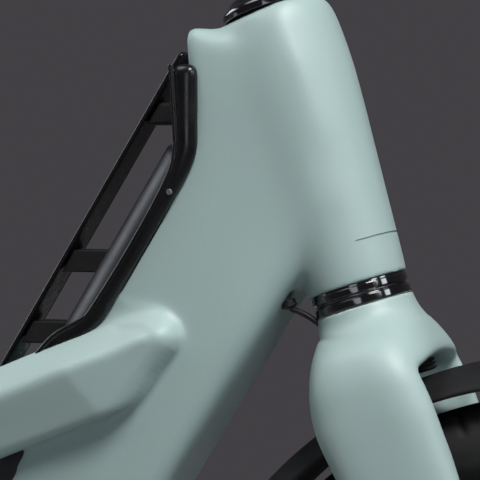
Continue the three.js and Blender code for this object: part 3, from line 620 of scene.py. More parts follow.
PAINT = make_paint()
TRIM_PLASTIC = make_plastic("trim_plastic", (0.005, 0.005, 0.0055), 0.26, strength=0.06)
COVER_PLASTIC = make_plastic("cover_plastic", (0.021, 0.021, 0.025), 0.44)
GUARD_PLASTIC = make_plastic("guard_plastic", (0.010, 0.010, 0.011), 0.6, 500.0, 0.2)
GUARD_PLASTIC.node_tree.nodes["Principled BSDF"].inputs["Specular IOR Level"].default_value = 0.3
RAIL_METAL = make_metal("rail_metal", (0.007, 0.007, 0.0075), 0.27, 0.2)
GLOSS = make_smooth("gloss_black", (0.003, 0.003, 0.004), 0.12, 0.07, 0.12, 60.0, 3.0, specular=0.8, coat=1.0,
                    coat_roughness=0.06)
BLACK_METAL = make_metal("black_metal", (0.014, 0.014, 0.015), 0.38, 0.35)
STEEL = make_metal("steel", (0.5, 0.51, 0.52), 0.3)
RUBBER = make_rubber("rubber", (0.011, 0.011, 0.011), 0.6)
TYRE = make_rubber("tyre_rubber", (0.014, 0.014, 0.014), 0.72)
CABLE = make_smooth("cable_jacket", (0.012, 0.012, 0.012), 0.38, 0.33, 0.45, 300.0)
COVER = make_rubber("saddle_cover", (0.016, 0.016, 0.017), 0.6, 1400.0)
DECAL = make_smooth("decal", (0.09, 0.115, 0.115), 0.5, 0.45, 0.6, 200.0)
LENS = make_smooth("lens", (0.85, 0.87, 0.88), 0.06, 0.04, 0.12, 90.0, coat=1.0)
LENS.node_tree.nodes["Principled BSDF"].inputs["Transmission Weight"].default_value = 0.7
RED = make_smooth("red_lens", (0.4, 0.012, 0.01), 0.12, 0.08, 0.2, 80.0, coat=1.0)
SCREEN = make_smooth("screen", (0.006, 0.007, 0.008), 0.08, 0.06, 0.14, 60.0, coat=1.0)

# ---------- the painted front frame ----------


def steering_parts(p):
    """Distance from the steering axis, and height along it, of points in millimetres."""
    q = p - HEADSET
    height = q @ STEER_UP
    radius = np.hypot(q @ STEER_FORWARD, q[..., 1])
    return radius, height


def down_tube_parts(p):
    """Distance down the tube, and height above the CAD tube's underside line."""
    q = p - UNDERSIDE
    return q @ DOWN_WAY, q @ DOWN_UP


HEAD_HEIGHTS = [7.3, 10.0, 30.0, 54.0, 90.0, 118.0, 150.0, 180.0, 194.6]
HEAD_RADII = [32.6, 33.5, 34.5, 35.7, 37.6, 39.1, 40.0, 38.4, 35.0]


def head_tube_field(p):
    radius, height = steering_parts(p)
    wall = radius - eased(height, HEAD_HEIGHTS, HEAD_RADII)
    return np.maximum(wall, np.maximum(-20.0 - height, height - HEAD_HEIGHTS[-1]))


BODY_BOTTOM = 4.0
BODY_FRONT = 14.0
GUSSET_BACK = -102.5
GUSSET_TOP = 138.0
GUSSET_BOTTOM = 40.0


def body_field(p):
    """The down tube and the deep gusset above it."""
    along, height = down_tube_parts(p)
    q = p - HEADSET
    behind = -(q @ STEER_FORWARD)
    tube = np.maximum(np.maximum(BODY_BOTTOM - height, height - TUBE_DEPTH), along - TUBE_END - 60.0)
    tube = np.maximum(tube, -behind - BODY_FRONT)
    lean = 0.12 * np.maximum(q[..., 2] - 100.0, 0.0)
    gusset = np.maximum(GUSSET_BACK - lean - q[..., 0], -behind - BODY_FRONT)
    gusset = np.maximum(gusset, (q[..., 2] + 0.35 * q[..., 0]) - GUSSET_TOP)
    gusset = np.maximum(gusset, GUSSET_BOTTOM - height)
    outline = smooth_union(tube, gusset, 34.0)
    radius = 3.0 + 10.0 * smoothstep(70.0, 20.0, height)
    head = eased(q @ STEER_UP, HEAD_HEIGHTS, HEAD_RADII) - 0.2
    half = lerp(head, TUBE_HALF_WIDTH, smoothstep(0.0, 85.0, behind))
    return rounded(outline, p[..., 1], half, radius)


SIDE_START = HEADSET + np.array([-104.0, 0.0, -28.0])
SIDE_TURN = HEADSET + np.array([-300.0, 0.0, -108.0])
SIDE_WAY = unit(SIDE_TURN - SIDE_START)
SIDE_UP = np.cross(ACROSS, SIDE_WAY)
SIDE_SECTION = [(-1.0, 31.0), (3.0, 31.0), (28.0, 12.5), (30.0, 9.0), (30.0, -27.0), (-1.0, -27.0)]
SIDE_CORNER = 5.0
SIDE_MIDDLE = 14.5
SIDE_CUT = 196.0
NOSE_OUTLINE = [(-190, 12), (-147, -8), (-137, -7.6), (-129, -8.2), (-120, -11.5), (-112.5, -18.5),
                (-109.3, -27.5), (-111.5, -35), (-125.2, -52.6), (-136.3, -70.3), (-150, -92), (-500, -200),
                (-500, 200)]
NOSE_DEPTH = 15.0
RIPPLE_PITCH = 4.4


def nose_depth(p):
    """How far inside the side tube's front outline a point is, seen from the side."""
    q = p - HEADSET
    return -polygon_distance(q[..., 0], q[..., 2], NOSE_OUTLINE)


def side_tube_field(p):
    """The start of a side tube: boxed, with a slanted upper face, and a domed nose on the down tube."""
    q = p - SIDE_START
    along = q @ SIDE_WAY
    outward = np.abs(p[..., 1]) - TUBE_HALF_WIDTH
    depth = nose_depth(p)
    beyond = np.clip(1.0 - depth / NOSE_DEPTH, 0.0, 0.985)
    splay = 0.5 + 0.5 * smoothstep(-8.0, 70.0, depth)
    room = np.where(outward > 0.0, np.sqrt(1.0 - beyond**2) * splay, 1.0)
    outline = smooth_outline(SIDE_SECTION, SIDE_CORNER, 4)
    section = polygon_distance(outward / room, q @ SIDE_UP, outline) * room
    groove = 1.2 * np.exp(-(((depth - NOSE_DEPTH) / 1.5) ** 2))
    groove = groove * smoothstep(5.0, 9.0, outward) * smoothstep(-52.0, -38.0, p[..., 2] - HEADSET[2])
    return np.maximum(np.maximum(section, -depth), along - SIDE_CUT) + groove


def weld_ripples(p):
    """Stacked weld ripples on the lower part of the side tubes' noses."""
    along, _ = down_tube_parts(p)
    outward = np.abs(p[..., 1]) - TUBE_HALF_WIDTH
    depth = nose_depth(p)
    bead = smoothstep(-1.0, 1.0, depth) * smoothstep(7.5, 4.5, depth) * smoothstep(1.0, 5.0, outward)
    bead = bead * smoothstep(69.0, 75.0, along) * smoothstep(122.0, 108.0, along)
    wave = np.abs(np.sin((along - 0.10 * (depth - 5.0) ** 2) * math.pi / RIPPLE_PITCH))
    return bead * (wave - 0.45)


FRAME_LOW = HEADSET + np.array([-330.0, -72.0, -262.0])
FRAME_HIGH = HEADSET + np.array([48.0, 72.0, 200.0])
BODY_VOXEL = 1.6


def head_and_body_field(p):
    """The head tube and the body, with a wide fillet in the crotch between them."""
    across = np.abs(p[..., 1])
    fillet = 1.5 + 9.0 * smoothstep(37.0, 30.0, across) + 6.0 * smoothstep(6.0, 20.0, across)
    return smooth_union(body_field(p), head_tube_field(p), fillet)


def make_front_frame():
    body = Grid(head_and_body_field, FRAME_LOW - 12.0, FRAME_HIGH + 12.0, BODY_VOXEL * 1.25, soften=10.0)

    def with_side_tubes(p):
        whole = body(p)
        near = p[0, 0, 0] < HEADSET[0] - 90.0
        return smooth_union(whole, side_tube_field(p), 5.0) if near else whole

    def details(p, values):
        """The parts that stay crisp: ends cut flat, the cable's hole, and the weld's ripples."""
        radius, height = steering_parts(p)
        whole = np.maximum(values, np.where(radius < 41.0, HEAD_HEIGHTS[0] - height, -1e3))
        along, level = down_tube_parts(p)
        whole = np.maximum(whole, along - TUBE_END + 6.0)
        head = radius - eased(height, HEAD_HEIGHTS, HEAD_RADII) - 0.5
        crotch = smooth_union(BODY_BOTTOM - level, head, 14.0)
        whole = np.where(along < 40.0, np.maximum(whole, crotch), whole)
        q = p - GROMMET_AT
        hole = np.linalg.norm(np.cross(q, GROMMET_WAY), axis=-1) - 5.2
        hole = np.maximum(hole, np.abs(q @ GROMMET_WAY) - 9.0)
        return smooth_cut(whole - weld_ripples(p), hole, 1.2)

    whole = Grid(with_side_tubes, FRAME_LOW, FRAME_HIGH, BODY_VOXEL, soften=3.6, detail=details)
    return whole.mesh("front_frame")


# ---------- the fork ----------

LEG_Y = 51.0
LEG_END = 346.0
CROWN_BOTTOM = 51.0
CROWN_TOP = 7.4
CROWN_DROPS = [CROWN_TOP, 9.0, 14.0, 18.5, 20.5, 24.0, 30.0, 36.0, 45.0, 56.0, 70.0, 90.0, 150.0]
CROWN_DEPTHS = [32.3, 32.7, 33.4, 34.0, 34.8, 36.0, 38.0, 39.6, 42.0, 44.4, 45.4, 44.0, 35.0]
CROWN_WIDTHS = [32.3, 32.8, 34.0, 36.0, 38.8, 44.0, 52.5, 58.5, 63.0, 65.6, 66.2, 66.2, 65.4]
CROWN_SQUARES = [2.0, 2.0, 2.0, 2.1, 2.2, 2.35, 2.6, 2.8, 3.1, 3.4, 3.8, 4.4, 5.0]
LEG_DROPS = [74.0, 110.0, 150.0, 180.0, 260.0, LEG_END]
LEG_DEPTHS = [43.6, 39.6, 34.2, 30.5, 22.0, 15.0]
LEG_WIDTHS = [13.6, 13.2, 12.4, 11.6, 9.6, 7.8]


def crown_and_legs_field(p):
    q = p - HEADSET
    x, y, drop = q @ STEER_FORWARD, np.abs(q[..., 1]), -(q @ STEER_UP)
    depth, width, power = (eased(drop, CROWN_DROPS, sizes)
                           for sizes in (CROWN_DEPTHS, CROWN_WIDTHS, CROWN_SQUARES))
    down = np.clip((drop - 70.0) / 258.0, 0.0, 1.2)
    bent_x = x - 43.0 * down**1.5
    crown = (((np.abs(bent_x) / depth) ** power + (y / width) ** power) ** (1 / power) - 1.0) * 36.0
    leg_y = y - (LEG_Y + 0.8 + 3.0 * down)
    half_x, half_y = (eased(drop, LEG_DROPS, sizes) for sizes in (LEG_DEPTHS, LEG_WIDTHS))
    leg = (((np.abs(bent_x) / half_x) ** 2.6 + (np.abs(leg_y) / half_y) ** 2.6) ** (1 / 2.6) - 1.0) * half_y
    whole = lerp(crown, leg, smoothstep(74.0, 150.0, drop))
    # The arch over the tyre and mudguard, wider at its front.
    inner = LEG_Y - 13.0 + 9.0 * smoothstep(0.0, 30.0, x) * smoothstep(150.0, 80.0, drop)
    arch = np.maximum(y - inner, CROWN_BOTTOM - drop + (y / 19.0) ** 2)
    whole = smooth_cut(np.maximum(whole, np.maximum(-drop - 12.0, drop - LEG_END)), arch, 9.0)
    drop_out = p - FRONT_AXLE
    boss = np.hypot(drop_out[..., 0], drop_out[..., 2]) - 16.5
    return smooth_union(whole, rounded(boss, y - (LEG_Y + 5.0), 5.5, 2.0), 9.0)


def make_fork():
    def details(p, values):
        """The flat top, the axle's bore, and the soft step under the collar."""
        q = p - HEADSET
        x, drop = q @ STEER_FORWARD, -(q @ STEER_UP)
        drop_out = p - FRONT_AXLE
        bore = np.hypot(drop_out[..., 0], drop_out[..., 2]) - 6.6
        crease = drop - 20.0 - 4.0 * smoothstep(-34.0, -8.0, x)
        step = np.exp(-((crease / 1.7) ** 2)) * (0.35 + 0.85 * smoothstep(4.0, -16.0, x))
        return np.maximum(np.maximum(values + step, -bore), CROWN_TOP - drop)

    low = HEADSET + np.array([-60.0, -74.0, -352.0])
    high = HEADSET + np.array([190.0, 74.0, 20.0])
    return Grid(crown_and_legs_field, low, high, BODY_VOXEL, soften=6.5, detail=details).mesh("fork_body")


def build_front():
    finish_piece(make_front_frame(), PAINT, "frame", ["head_tube", "down_tube"])
    finish_piece(make_fork(), PAINT, "steering", ["fork"])


# ---------- pieces that are made from simpler ones ----------


def other_side(obj, name):
    """The same piece on the other side of the bicycle."""
    mesh = obj.data.copy()
    mesh.name = name
    mesh.transform(Matrix.Scale(-1.0, 4, (0.0, 1.0, 0.0)))
    mesh.flip_normals()
    return link(bpy.data.objects.new(name, mesh))


def both(obj, base, material, body, node=None):
    """Finishes a right-hand piece and its mirror image, which stand for node_right and node_left."""
    obj.name = base + "_right"
    twin = other_side(obj, base + "_left")
    finish_piece(obj, material, body, [node + "_right"] if node else [])
    finish_piece(twin, material, body, [node + "_left"] if node else [])


def merged(name, objects):
    with bpy.context.temp_override(active_object=objects[0], object=objects[0], selected_objects=objects,
                                   selected_editable_objects=objects):
        bpy.ops.object.join()
    objects[0].name = name
    return objects[0]


def rod(start, end, radius, end_radius=None, edge=0.8, segments=40):
    """A round bar with rounded ends."""
    start, end = np.asarray(start, float), np.asarray(end, float)
    length = np.linalg.norm(end - start)
    last = radius if end_radius is None else end_radius
    edge = min(edge, 0.45 * min(radius, last), 0.45 * length)
    profile = [(0.0, 0.0), (radius - edge, 0.0), (radius - 0.3 * edge, 0.3 * edge), (radius, edge),
               (last, length - edge), (last - 0.3 * edge, length - 0.3 * edge), (last - edge, length),
               (0.0, length)]
    axis = end - start
    return turned("rod", profile, start, axis, segments, forward_for(axis))


def box_piece(size, centre, along=(1, 0, 0), upward=(0, 0, 1), bevel=1.0, segments=3):
    """A rounded box; size is along its own length, across, and upward."""
    x = unit(along)
    z = unit(np.asarray(upward, float) - np.dot(upward, x) * x)
    y = np.cross(z, x)
    half = np.asarray(size, float) / 2
    corners = [np.asarray(centre, float) + sx * half[0] * x + sy * half[1] * y + sz * half[2] * z
               for sx in (-1, 1) for sy in (-1, 1) for sz in (-1, 1)]
    faces = [(0, 1, 3, 2), (4, 6, 7, 5), (0, 4, 5, 1), (2, 3, 7, 6), (0, 2, 6, 4), (1, 5, 7, 3)]
    obj = face_out(mesh_object("box", corners, faces))
    return beveled(obj, bevel, segments) if bevel else obj


def bolt(place, axis, radius=4.0, height=3.0):
    """A round-headed bolt with a hexagon socket."""
    socket = 0.52 * radius
    profile = [(0.0, 0.35 * height), (socket, 0.35 * height), (socket, height), (0.8 * radius, height),
               (radius, 0.72 * height), (radius, -1.0), (0.0, -1.0)]
    return turned("bolt", profile, place, axis, 24, forward_for(axis), 30)


def forward_for(axis):
    return FORWARD if abs(unit(axis)[0]) < 0.9 else UP


def lathe(name, corners, radius, origin, axis, segments=96, forward=FORWARD, sharp_degrees=35, steps=4):
    """A turned shape whose profile's corners are rounded off."""
    profile = rounded_profile(corners, radius, steps)
    return turned(name, profile, origin, axis, segments, forward, sharp_degrees)


def ring(outer, inner, low, high, origin, axis, radius=0.8, segments=96):
    corners = [(inner, low), (outer, low), (outer, high), (inner, high)]
    return lathe("ring", corners, radius, origin, axis, segments, forward_for(axis))


def smooth_outline(points, radius=3.0, steps=5):
    return [tuple(p) for p in rounded_profile(points, radius, steps)]


def rounded_box_loop(width, height, radius, centre=(0.0, 0.0)):
    corners = [(centre[0] + sx * width / 2, centre[1] + sy * height / 2)
               for sx, sy in ((-1, -1), (1, -1), (1, 1), (-1, 1))]
    return smooth_outline(corners, radius)


# ---------- headset, cable and boot ----------

UPPER_CUP_HEIGHT = 195.0
CABLE_RADIUS = 2.0
BOOT_TOP = -46.6
BOOT_RIBS = 5
BOOT_PITCH = 2.6


def finish_node(node, material):
    """Gives a CAD node that is kept its finer material."""
    obj = frame["nodes"][node]
    obj.data.materials.clear()
    obj.data.materials.append(material)


def build_headset():
    cup = [(27.3, 0.5), (31.2, 0.5), (31.7, 0.9), (32.3, 1.3), (32.3, 5.2), (31.9, 5.6), (31.9, 7.0),
           (27.3, 7.0)]
    cup = lathe("lower_cup_ring", cup, 0.35, HEADSET, STEER_UP, 160, STEER_FORWARD, 25)
    finish_piece(cup, GLOSS, "frame", ["lower_cup"])
    race = [(16.0, -0.5), (30.6, -0.5), (31.4, -1.0), (31.4, -1.6), (32.4, -2.0), (32.4, -6.2), (31.9, -7.0),
            (16.0, -7.0)]
    race = lathe("crown_race_ring", race, 0.35, HEADSET, STEER_UP, 160, STEER_FORWARD, 25)
    finish_piece(race, GLOSS, "steering", ["crown_race"])
    finish_piece(ring(30.4, 19.5, -0.15, 0.15, HEADSET, STEER_UP, 0.1), STEEL, "steering")
    cover = [(14.8, 0.0), (34.0, 0.0), (34.0, 4.0), (33.0, 5.6), (30.0, 8.0), (27.0, 11.4), (14.8, 11.4)]
    top = on_steering(0, 0, UPPER_CUP_HEIGHT)
    cover = lathe("upper_cup_ring", cover, 0.6, top, STEER_UP, 128, STEER_FORWARD, 25)
    finish_piece(cover, GLOSS, "frame", ["upper_cup"])
    finish_node("lower_bearing", STEEL)


def build_cable():
    """The cable bends between the frame and the fork; its route is listed."""
    points = [GROMMET_INSIDE] + [HEADSET + [x, CABLE_SIDE, z] for x, z in (
        (-43.2, -8.8), (-38.5, -10.7), (-32.5, -13.4), (-27.5, -16.3), (-22.5, -19.5))]
    cable = round_bar("front_cable_hose", points, CABLE_RADIUS, 60, 20, up=(0, 1, 0))
    cable.data.materials.append(CABLE)
    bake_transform(cable)
    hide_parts("front_cable")
    lip = [(2.1, 0.5), (4.8, 0.5), (4.8, 4.0), (5.5, 4.4), (5.4, 5.0), (4.2, 5.5), (3.0, 6.1), (2.1, 6.1)]
    grommet = lathe("cable_grommet_lip", lip, 0.6, GROMMET_INSIDE, GROMMET_WAY, 48)
    finish_piece(grommet, RUBBER, "frame", ["cable_grommet"])


def build_boot():
    """The ribbed rubber boot between the fork legs."""
    profile = [(4.0, BOOT_TOP), (9.4, BOOT_TOP)]
    for rib in range(BOOT_RIBS):
        top = BOOT_TOP - 0.4 - BOOT_PITCH * rib
        profile += [(10.4, top), (10.7, top - 0.6), (10.3, top - 1.2), (8.4, top - 1.9), (8.4, top - 2.1)]
    profile += [(8.2, BOOT_TOP - 12.8), (4.0, BOOT_TOP - 12.8)]
    boot = turned("cable_boot_ribs", profile, on_steering(24, -1, 0), STEER_UP, 72, STEER_FORWARD, 50)
    finish_piece(boot, RUBBER, "steering", ["cable_boot"])


# ---------- battery, trims and accessory rail ----------

COVER_START = -36.0
COVER_END = 265.0
COVER_EDGE = 96.5
COVER_CROWN = 130.0
COVER_HALF_WIDTH = 37.2


def cover_row(t, sides):
    """The battery cover's outline across the tube, at t of its length."""
    length = COVER_END - COVER_START
    from_end = min(t, 1.0 - t) * length
    corner = 5.0 if t < 0.5 else 14.0
    fall = 1.0 - math.sqrt(max(0.0, 1.0 - (1.0 - min(from_end / corner, 1.0)) ** 2))
    dip = 3.0 * smoothstep(60.0, 0.0, from_end) * smoothstep(0.2, 0.8, t)
    top = COVER_CROWN - dip - 18.0 * fall
    side = COVER_HALF_WIDTH - 4.0 * fall
    row = []
    for u in np.linspace(-1.0, 1.0, sides + 1):
        y = side * math.sin(u * math.pi / 2)
        crown = top - 20.0 * abs(y / COVER_HALF_WIDTH) ** 2.5
        level = COVER_EDGE + (crown - COVER_EDGE) * max(0.0, 1.0 - abs(y / side) ** 24) ** 0.5
        row.append(on_down_tube(COVER_START + t * length, level, y))
    return row


def build_battery():
    finish_node("battery_pack", BLACK_METAL)
    steps, sides = 110, 40
    vertices = [place for i in range(steps + 1) for place in cover_row(i / steps, sides)]
    row = sides + 1
    faces = [(i * row + k, i * row + k + 1, (i + 1) * row + k + 1, (i + 1) * row + k)
             for i in range(steps) for k in range(sides)]
    faces += [tuple(range(row)), tuple(steps * row + k for k in range(row))]
    faces += [(i * row, (i + 1) * row, (i + 1) * row + sides, i * row + sides) for i in range(steps)]
    cover = face_out(mesh_object("battery_cover", vertices, faces, sharp_degrees=45))
    key = ring(7.0, 3.2, 0.0, 1.6, on_down_tube(214, 129.3), DOWN_UP, 0.5, 48)
    socket = box_piece((34, 12, 3), on_down_tube(240, 127.0), DOWN_WAY, DOWN_UP, 1.4)
    assembled("battery_cover", [cover, key, socket], COVER_PLASTIC, "frame", ["battery_housing"])


# The trim's inner edge and whole outline, seen from the side, from the headset.
TRIM_EDGE = [(-117.0, 160), (-113.4, 108), (-113.4, 97), (-117.8, 78), (-141.6, 36), (-172.0, -10),
             (-181, -18.5), (-199.4, -28.5), (-212, -41)]
TRIM_TOP = 150
TRIM_OUTLINE = [(-98.9, TRIM_TOP), (-98.9, 94), (-102.5, 83), (-108.6, 72), (-131.7, 36), (-170.5, -27),
                (-216, -45)] + TRIM_EDGE[:0:-1] + [(-115.8, TRIM_TOP)]
BEAD_SIDE = 41.8
BEAD_RADIUS = 1.9


def trim_field(p):
    """A half-round strip that swells towards its top, with a raised bead along its inner edge."""
    q = p - HEADSET
    x, z = q[..., 0], q[..., 2]
    y = np.abs(q[..., 1])
    outline = polygon_distance(x, z, smooth_outline(TRIM_OUTLINE, 12.0, 6)) + 0.3
    tall = smoothstep(-20.0, 110.0, z)
    half_round = 4.6 + 3.0 * tall
    inward = np.clip(-outline, 0.0, half_round) / half_round
    outer = 39.4 + (4.3 + 1.1 * tall) * np.sqrt(np.maximum(1.0 - (1.0 - inward) ** 2, 0.0))
    body = np.maximum(outline, np.maximum(38.2 - y, (y - outer) * 0.75))
    edge = catmull([(a, b, 0.0) for a, b in TRIM_EDGE], 60)[:, :2]
    line = np.minimum.reduce([segment_distance(x, z, *ends) for ends in zip(edge[:-1], edge[1:])])
    bead = np.maximum(np.hypot(line, y - BEAD_SIDE) - BEAD_RADIUS, z - TRIM_TOP)
    return smooth_union(body, bead, 0.8)


def build_trims():
    low = HEADSET + np.array([-243.0, -47.0, -60.0])
    high = HEADSET + np.array([-94.0, -36.5, 153.0])
    trim = Grid(trim_field, low, high, 0.75).mesh("trim_strip", trim_field)
    both(trim, "trim_strip", TRIM_PLASTIC, "frame", "trim")
    screw = bolt(HEADSET + [-116.6, -44.4, 67.0], -ACROSS, 1.9, 0.7)
    both(screw, "trim_screw", STEEL, "frame")


RAIL_LEVEL = 152.0
RAIL_THICKNESS = 3.0
RAIL_SIZE = (266, 23.6)
RAIL_MIDDLE = 45
FOOT_DROP = 2.5


def build_rail():
    level = RAIL_LEVEL + RAIL_THICKNESS / 2
    plate = flat_piece("rail_plate", [rounded_box_loop(*RAIL_SIZE, 4)], RAIL_THICKNESS,
                       on_down_tube(RAIL_MIDDLE, level), DOWN_UP, DOWN_WAY, 0.9)
    parts = [rod(on_down_tube(-86, level, y), on_down_tube(176, level, y), 1.6, segments=16)
             for y in (-RAIL_SIZE[1] / 2, RAIL_SIZE[1] / 2)]
    parts += [bolt(on_down_tube(along, RAIL_LEVEL + 2.9), DOWN_UP, 4.0, 1.4) for along in (-62, 34, 128)]
    assembled("rail_plate", [plate] + parts, RAIL_METAL, "frame", ["accessory_rail"])
    for node in ("rail_foot_upper", "rail_foot_middle", "rail_foot_lower"):
        foot = copy_of(node)
        foot.data.transform(Matrix.Translation((0.0, 0.0, -FOOT_DROP * MM)))
        finish_piece(beveled(foot, 2.6, 4, 40), GUARD_PLASTIC, "frame", [node])


# ---------- the rest of the frame ----------

WELD_STEP = 0.7
WELD_PITCH = 3.4


def weld(path, radius=2.0):
    """A rippled weld bead along a closed row of points."""
    path = np.asarray(path, float)
    count = int(np.linalg.norm(np.diff(path, axis=0), axis=1).sum() / WELD_STEP)
    places = along_path(path, count)
    ways = np.roll(places, -1, axis=0) - np.roll(places, 1, axis=0)
    ways[0], ways[-1] = places[1] - places[0], places[-1] - places[-2]
    outline = oval(1.0, 1.0, sides=12)
    vertices = []
    for i, (place, way) in enumerate(zip(places, ways)):
        way = unit(way)
        side = unit(np.cross(way, [0.31, 0.52, 0.79]))
        rise = np.cross(way, side)
        size = radius * (0.86 + 0.16 * abs(math.sin(math.pi * i * WELD_STEP / WELD_PITCH)))
        vertices.extend(place + size * (outline[:, :1] * side + outline[:, 1:] * rise))
    return face_out(mesh_object("weld", vertices, ring_faces(count, 12)))


def closed_path(outline, centre, across, upward):
    """A flat outline laid out in space, ending where it starts."""
    outline = np.vstack([outline, outline[:1]])
    return np.asarray(centre) + outline[:, :1] * np.asarray(across) + outline[:, 1:] * np.asarray(upward)


def oval_weld(centre, across, upward, half_width, half_height, radius=2.0, square=2.0):
    return weld(closed_path(oval(half_width, half_height, square, 90), centre, across, upward), radius)


def side_section_outline(t):
    """From the boxed section at the front to a rounded oblong at the dropouts."""
    boxed = np.array(smooth_outline(SIDE_SECTION, SIDE_CORNER, 6)) - [SIDE_MIDDLE, 0.0]
    angles = np.arctan2(boxed[:, 1] / 27.0, boxed[:, 0] / 15.0)
    c, s = np.cos(angles), np.sin(angles)
    soft = np.stack([np.sign(c) * np.abs(c) ** 0.6 * lerp(15.0, 12.0, t),
                     np.sign(s) * np.abs(s) ** 0.6 * lerp(27.0, 17.0, t)], -1)
    return lerp(boxed, soft, float(smoothstep(0.0, 0.55, t)))


SIDE_TUBE_PATH = [(720, -56, 429), (600, -58, 396), (440, -64, 356), (250, -74, 320), (120, -76, 296),
                  (36, -76, 280)]


def build_side_tubes():
    middle = SIDE_START - ACROSS * (TUBE_HALF_WIDTH + SIDE_MIDDLE)
    start, joint, second = (middle + SIDE_WAY * (SIDE_CUT + along) for along in (-3.0, 0.0, 14.0))
    points = [start, second] + [on_bike(*place) for place in SIDE_TUBE_PATH]
    tube = swept("side_tube", catmull(points, 120), side_section_outline, sharp_degrees=40)
    seam = weld(closed_path(side_section_outline(0.0), joint, -ACROSS, SIDE_UP), 1.9)
    both(merged("side_tube", [tube, seam]), "side_tube", PAINT, "frame", "side_tube")


def build_keel():
    """The tube that carries on from the down tube, bending level on its way to the motor."""
    start, end = on_down_tube(TUBE_END - 2.0, 49.6), on_bike(702, 0, 288)
    bend = [start, start + 77.0 * DOWN_WAY, end + [110, 0, 4], end]
    t = np.linspace(0, 1, 60)[:, None]
    path = sum(math.comb(3, k) * t**k * (1 - t) ** (3 - k) * bend[k] for k in range(4))
    keel = swept("keel", path, lambda t: oval(lerp(38, 32, t), lerp(45.6, 36, t), 5, 64))
    seams = [oval_weld(on_down_tube(TUBE_END, 49.8), ACROSS, DOWN_UP, 38.2, 46.0, square=5),
             oval_weld(end + [1, 0, 0], ACROSS, UP, 32.4, 36.4, square=5)]
    assembled("keel_body", [keel] + seams, PAINT, "frame", ["keel_tube"])


def build_seat_tube():
    tube = lathe("seat_tube_body", [(14.2, 9), (19, 9), (19, 250), (14.2, 250)], 0.8, SEAT_FOOT, SEAT_UP, 96,
                 SEAT_FORWARD)
    foot = oval_weld(on_seat_tube(0, 0, 11), SEAT_FORWARD, ACROSS, 19.4, 19.4, 2.4)
    route = [on_seat_tube(-14, 0, 60), on_bike(500, 0, 400), on_bike(430, 0, 392)]
    brace = swept("seat_brace", catmull(route, 30), lambda t: oval(11, 9, 2.4, 32))
    bridge = rod(on_bike(440, -58, 382), on_bike(440, 58, 382), 11)
    seams = [oval_weld(on_bike(440, y, 381), FORWARD, UP, 11.6, 11.6, 1.8) for y in (-55, 55)]
    assembled("seat_tube_body", [tube, foot, brace, bridge] + seams, PAINT, "frame", ["seat_tube"])


def build_chainstays():
    route = [(530, -28, 274), (420, -34, 268), (300, -58, 260), (150, -69.5, 250), (38, -70, 244)]
    stay = swept("stay", catmull([on_bike(*place) for place in route], 70),
                 lambda t: oval(10, lerp(12, 10, t), 2.3, 36))
    shape = smooth_outline([(-24, -26), (22, -30), (44, -10), (34, 8), (18, 14), (-6, 40), (-26, 40)], 6)
    plate = flat_piece("plate", [shape, circle(6.5, 40), circle(3.0, 24, (-14, 28))], 8.0,
                       REAR_AXLE - 70 * ACROSS, -ACROSS, FORWARD, 1.2)
    hanger = box_piece((34, 9, 70), STAND + [0, -34, 22], bevel=3)
    parts = [stay, plate, hanger, bolt(REAR_AXLE + [-14, -74, 28], -ACROSS, 4.5, 3.0)]
    both(merged("chainstay", parts), "chainstay", PAINT, "frame", "chainstay")


def build_motor():
    motor = beveled(copy_of("motor_housing"), 1.2, 3, 35)
    finish_piece(motor, COVER_PLASTIC, "frame", ["motor_housing"])
    cap = [(13, 0), (44, 0), (44, 1.8), (40, 2.6), (18, 2.8), (13, 2.2)]
    covers = []
    for y, way in ((-40.0, -1), (48.0, 1)):
        covers.append(lathe("cap", cap, 0.6, CRANK + [0, y - way, 0], way * ACROSS))
        covers += [bolt(beside(CRANK, 39, angle, y + way * 1.2), way * ACROSS, 2.4, 1.2)
                   for angle in full_turn(6)]
    assembled("motor_covers", covers, BLACK_METAL, "frame")


RACK_SIDE = -95.0
RACK_HEIGHT = 600.0
SLAT_PITCH = 76
DECK_TOP = 606.4


def build_rack_sides():
    route = [(-328, 600), (-100, 600), (200, 600), (380, 598)]
    points = [on_bike(x, RACK_SIDE, z) for x, z in route]
    points += [on_bike(440, RACK_SIDE * 0.93, 560), on_bike(500, -68, 410)]
    rail = round_bar("rail", points, 10, 160, 32)
    strut = rod(on_bike(14, -90, 305), on_bike(-40, RACK_SIDE, RACK_HEIGHT - 4), 9)
    foot = rod(on_bike(14, -90, 308), on_bike(-14, -79, 288), 7)
    seam = oval_weld(on_bike(-39, RACK_SIDE, RACK_HEIGHT - 9.6), FORWARD, ACROSS, 9.6, 9.6, 1.6)
    cap = rod(on_bike(-330, RACK_SIDE, RACK_HEIGHT), on_bike(-326, RACK_SIDE, RACK_HEIGHT), 9.6)
    both(merged("rack_side", [rail, strut, foot, seam, cap]), "rack_side", PAINT, "frame", "rack_side")


def build_deck():
    outline = smooth_outline([(-326, -84), (396, -84), (420, -60), (420, 60), (396, 84), (-326, 84)], 12)
    slots = [rounded_box_loop(26, 104, 10, (-257 + i * SLAT_PITCH, 0)) for i in range(9)]
    deck = flat_piece("deck", [outline] + slots, 12.0, on_bike(0, 0, RACK_HEIGHT + 0.2), UP, FORWARD, 2.0)
    slats = [box_piece((40, 150, 2.4), on_bike(-295 + i * SLAT_PITCH, 0, DECK_TOP), bevel=1.0)
             for i in range(10)]
    screws = [bolt(on_bike(-219 + i * 2 * SLAT_PITCH, y, DECK_TOP - 0.2), UP, 3.6, 1.6)
              for i in range(4) for y in (-70, 70)]
    assembled("deck_plate", [deck] + slats, GUARD_PLASTIC, "frame", ["rack_deck"])
    assembled("deck_screws", screws, STEEL, "frame")


